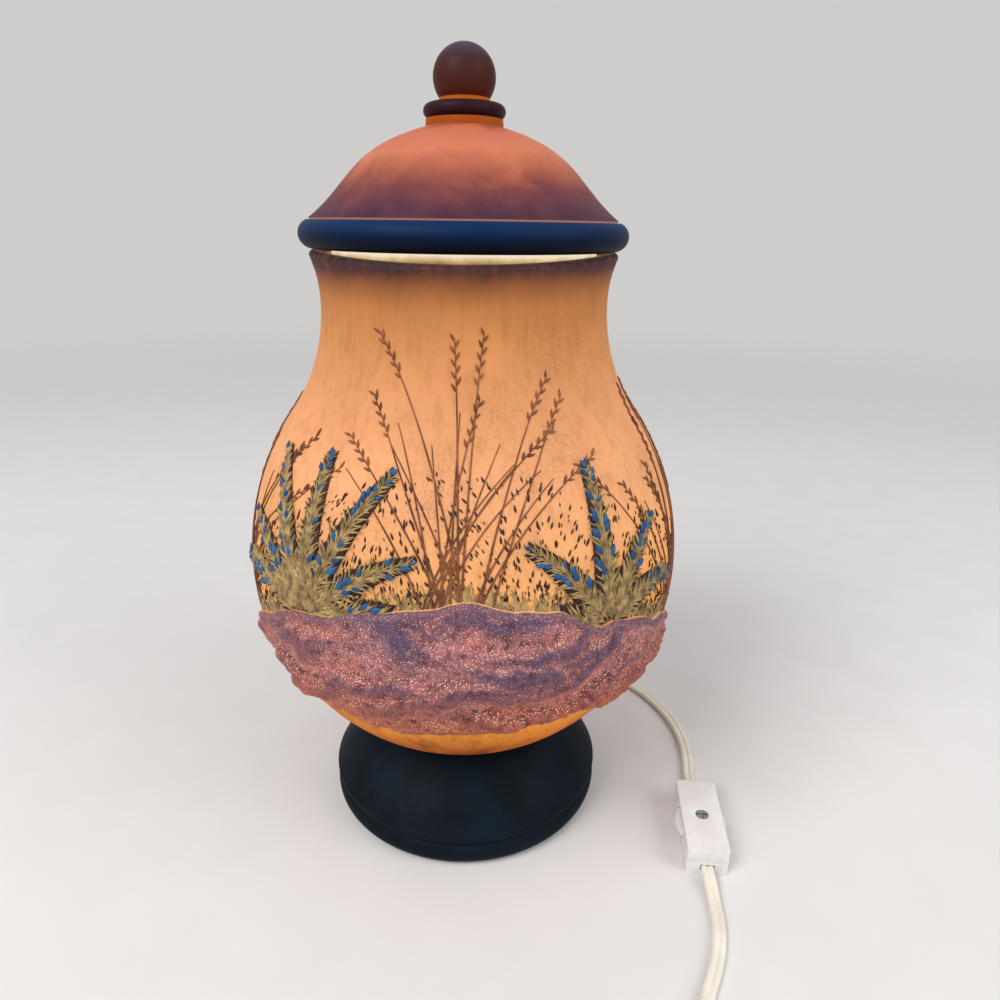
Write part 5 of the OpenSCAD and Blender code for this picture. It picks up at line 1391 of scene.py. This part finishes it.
# %% The bushing
BUSH_RIBS, BUSH_RIB_PITCH, RIB_GAP, RIB_DEPTH = 5, 2.9, 0.8, 0.6
BUSH_BORE_R, BUSH_R, BUSH_FLANGE_R, NOSE_R, TIP_R = 3.1, 4.5, 6.5, 5.0, 3.8
FLANGE_Y, NOSE_Y = 57, 59
BUSH_SOFT, BUSH_SIDES = 0.4, 48
bush_in_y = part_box("cord_bushing")[0][1] / MM


def nose(y):
    """Radius of the tapered nose."""
    return NOSE_R + (TIP_R - NOSE_R) * (y - NOSE_Y) / (BUSH_END_Y - NOSE_Y)


bush_line = [(BUSH_BORE_R, bush_in_y), (BUSH_R, bush_in_y), (BUSH_R, FLANGE_Y),
             (BUSH_FLANGE_R - BUSH_SOFT, FLANGE_Y), (BUSH_FLANGE_R, FLANGE_Y + BUSH_SOFT),
             (BUSH_FLANGE_R, NOSE_Y - BUSH_SOFT), (BUSH_FLANGE_R - BUSH_SOFT, NOSE_Y)]
for i in range(BUSH_RIBS):
    low = NOSE_Y + i * BUSH_RIB_PITCH
    high = low + BUSH_RIB_PITCH - RIB_GAP
    groove_r = nose(high) - RIB_DEPTH
    bush_line += [(nose(low), low), (nose(high), high), (groove_r, high + 0.1),
                  (groove_r, high + RIB_GAP - 0.1)]
bush_line += [(nose(BUSH_END_Y - 1.2), BUSH_END_Y - 1.2), (TIP_R, BUSH_END_Y - 0.3),
              (TIP_R - 0.3, BUSH_END_Y), (BUSH_BORE_R, BUSH_END_Y)]
standing_points, bush_faces = revolve(bush_line, BUSH_SIDES)
bush_points = [(x, along, HOLE_Z + y) for x, y, along in standing_points]
bushing = mesh_piece("ribbed_bushing", bush_points, bush_faces, RUBBER)
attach(bushing, "lamp")
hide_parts("cord_bushing")
print("bushing triangles:", triangles(bushing))

# %% [markdown]
# ## The cord's length
# The cord from the base, the switch and the cord to the plug add up to the whole cord.

print("cord in all:", round(base_cord_length + plug_cord_length + SWITCH_L * MM, 3), "m")

# %% [markdown]
# ## Light and floor
# A plain pale paper floor, an even sky and two large soft lamps show the colours about as they are
# written. Away from the object the floor fades to one pale grey, which the sky has too where the camera
# sees it, so no horizon shows from any side. The lamp's own light stays in its materials, so it looks
# lit in any room.

# %% Sky and lamps
scene.view_settings.view_transform = "Standard"
PALE = rgb("#cfcdcb")
AIM = Vector((0, 0, 0.15))


def seen_directly(tree):
    """1 for rays from the camera, in reflections and through glass, and 0 for those that only light."""
    rays = add(tree, "ShaderNodeLightPath").outputs
    mirrored = add(tree, "ShaderNodeMath", [rays["Is Camera Ray"], rays["Is Glossy Ray"]],
                   operation="MAXIMUM")
    return add(tree, "ShaderNodeMath", [mirrored, rays["Is Transmission Ray"]], operation="MAXIMUM")


world = bpy.data.worlds.new("studio")
world.use_nodes = True
tree = world.node_tree
sky = add(tree, "ShaderNodeMix", {0: seen_directly(tree), 6: rgb("#c4c4c6"), 7: PALE}, data_type="RGBA")
connect(tree, tree.nodes["Background"], {"Color": sky})
scene.world = world


def softbox(name, place, size, power):
    """A square lamp that shines at the middle of the object."""
    data = bpy.data.lights.new(name, "AREA")
    data.shape = "RECTANGLE"
    data.size = data.size_y = size
    data.energy = power
    lamp = bpy.data.objects.new(name, data)
    lamp.location = place
    lamp.rotation_euler = (AIM - Vector(place)).to_track_quat("-Z", "Y").to_euler()
    scene.collection.objects.link(lamp)


softbox("key", (-0.9, -0.9, 1.3), 0.9, 24)
softbox("fill", (1.1, -0.6, 0.9), 0.9, 9)

# %% Floor
FLOOR_REACH = 9000
PAPER, tree, shader, place = finish("matt_paper", Roughness=0.9)
fibres = add(tree, "ShaderNodeTexNoise", {"Vector": place, "Scale": per_mm(30), "Detail": 3.0})
shade = add(tree, "ShaderNodeValToRGB", {"Fac": fibres}, [(0.3, "#d5d3d1"), (0.7, "#d8d6d4")])
connect(tree, shader, {"Base Color": shade})
away = add(tree, "ShaderNodeVectorMath", [place], operation="LENGTH")
fade = add(tree, "ShaderNodeMapRange", [away, 0.5, 1.8], interpolation_type="SMOOTHSTEP")
faded = add(tree, "ShaderNodeMath", [fade, seen_directly(tree)], operation="MULTIPLY")
horizon = add(tree, "ShaderNodeEmission", {"Color": PALE})
surface = add(tree, "ShaderNodeMixShader", [faded, shader, horizon])
connect(tree, tree.nodes["Material Output"], {"Surface": surface})
floor_verts = [(sx * FLOOR_REACH, sy * FLOOR_REACH, 0) for sx, sy in CORNERS]
floor = mesh_piece("floor", floor_verts, [(0, 1, 2, 3)], PAPER)
print("floor reach:", FLOOR_REACH, "mm")
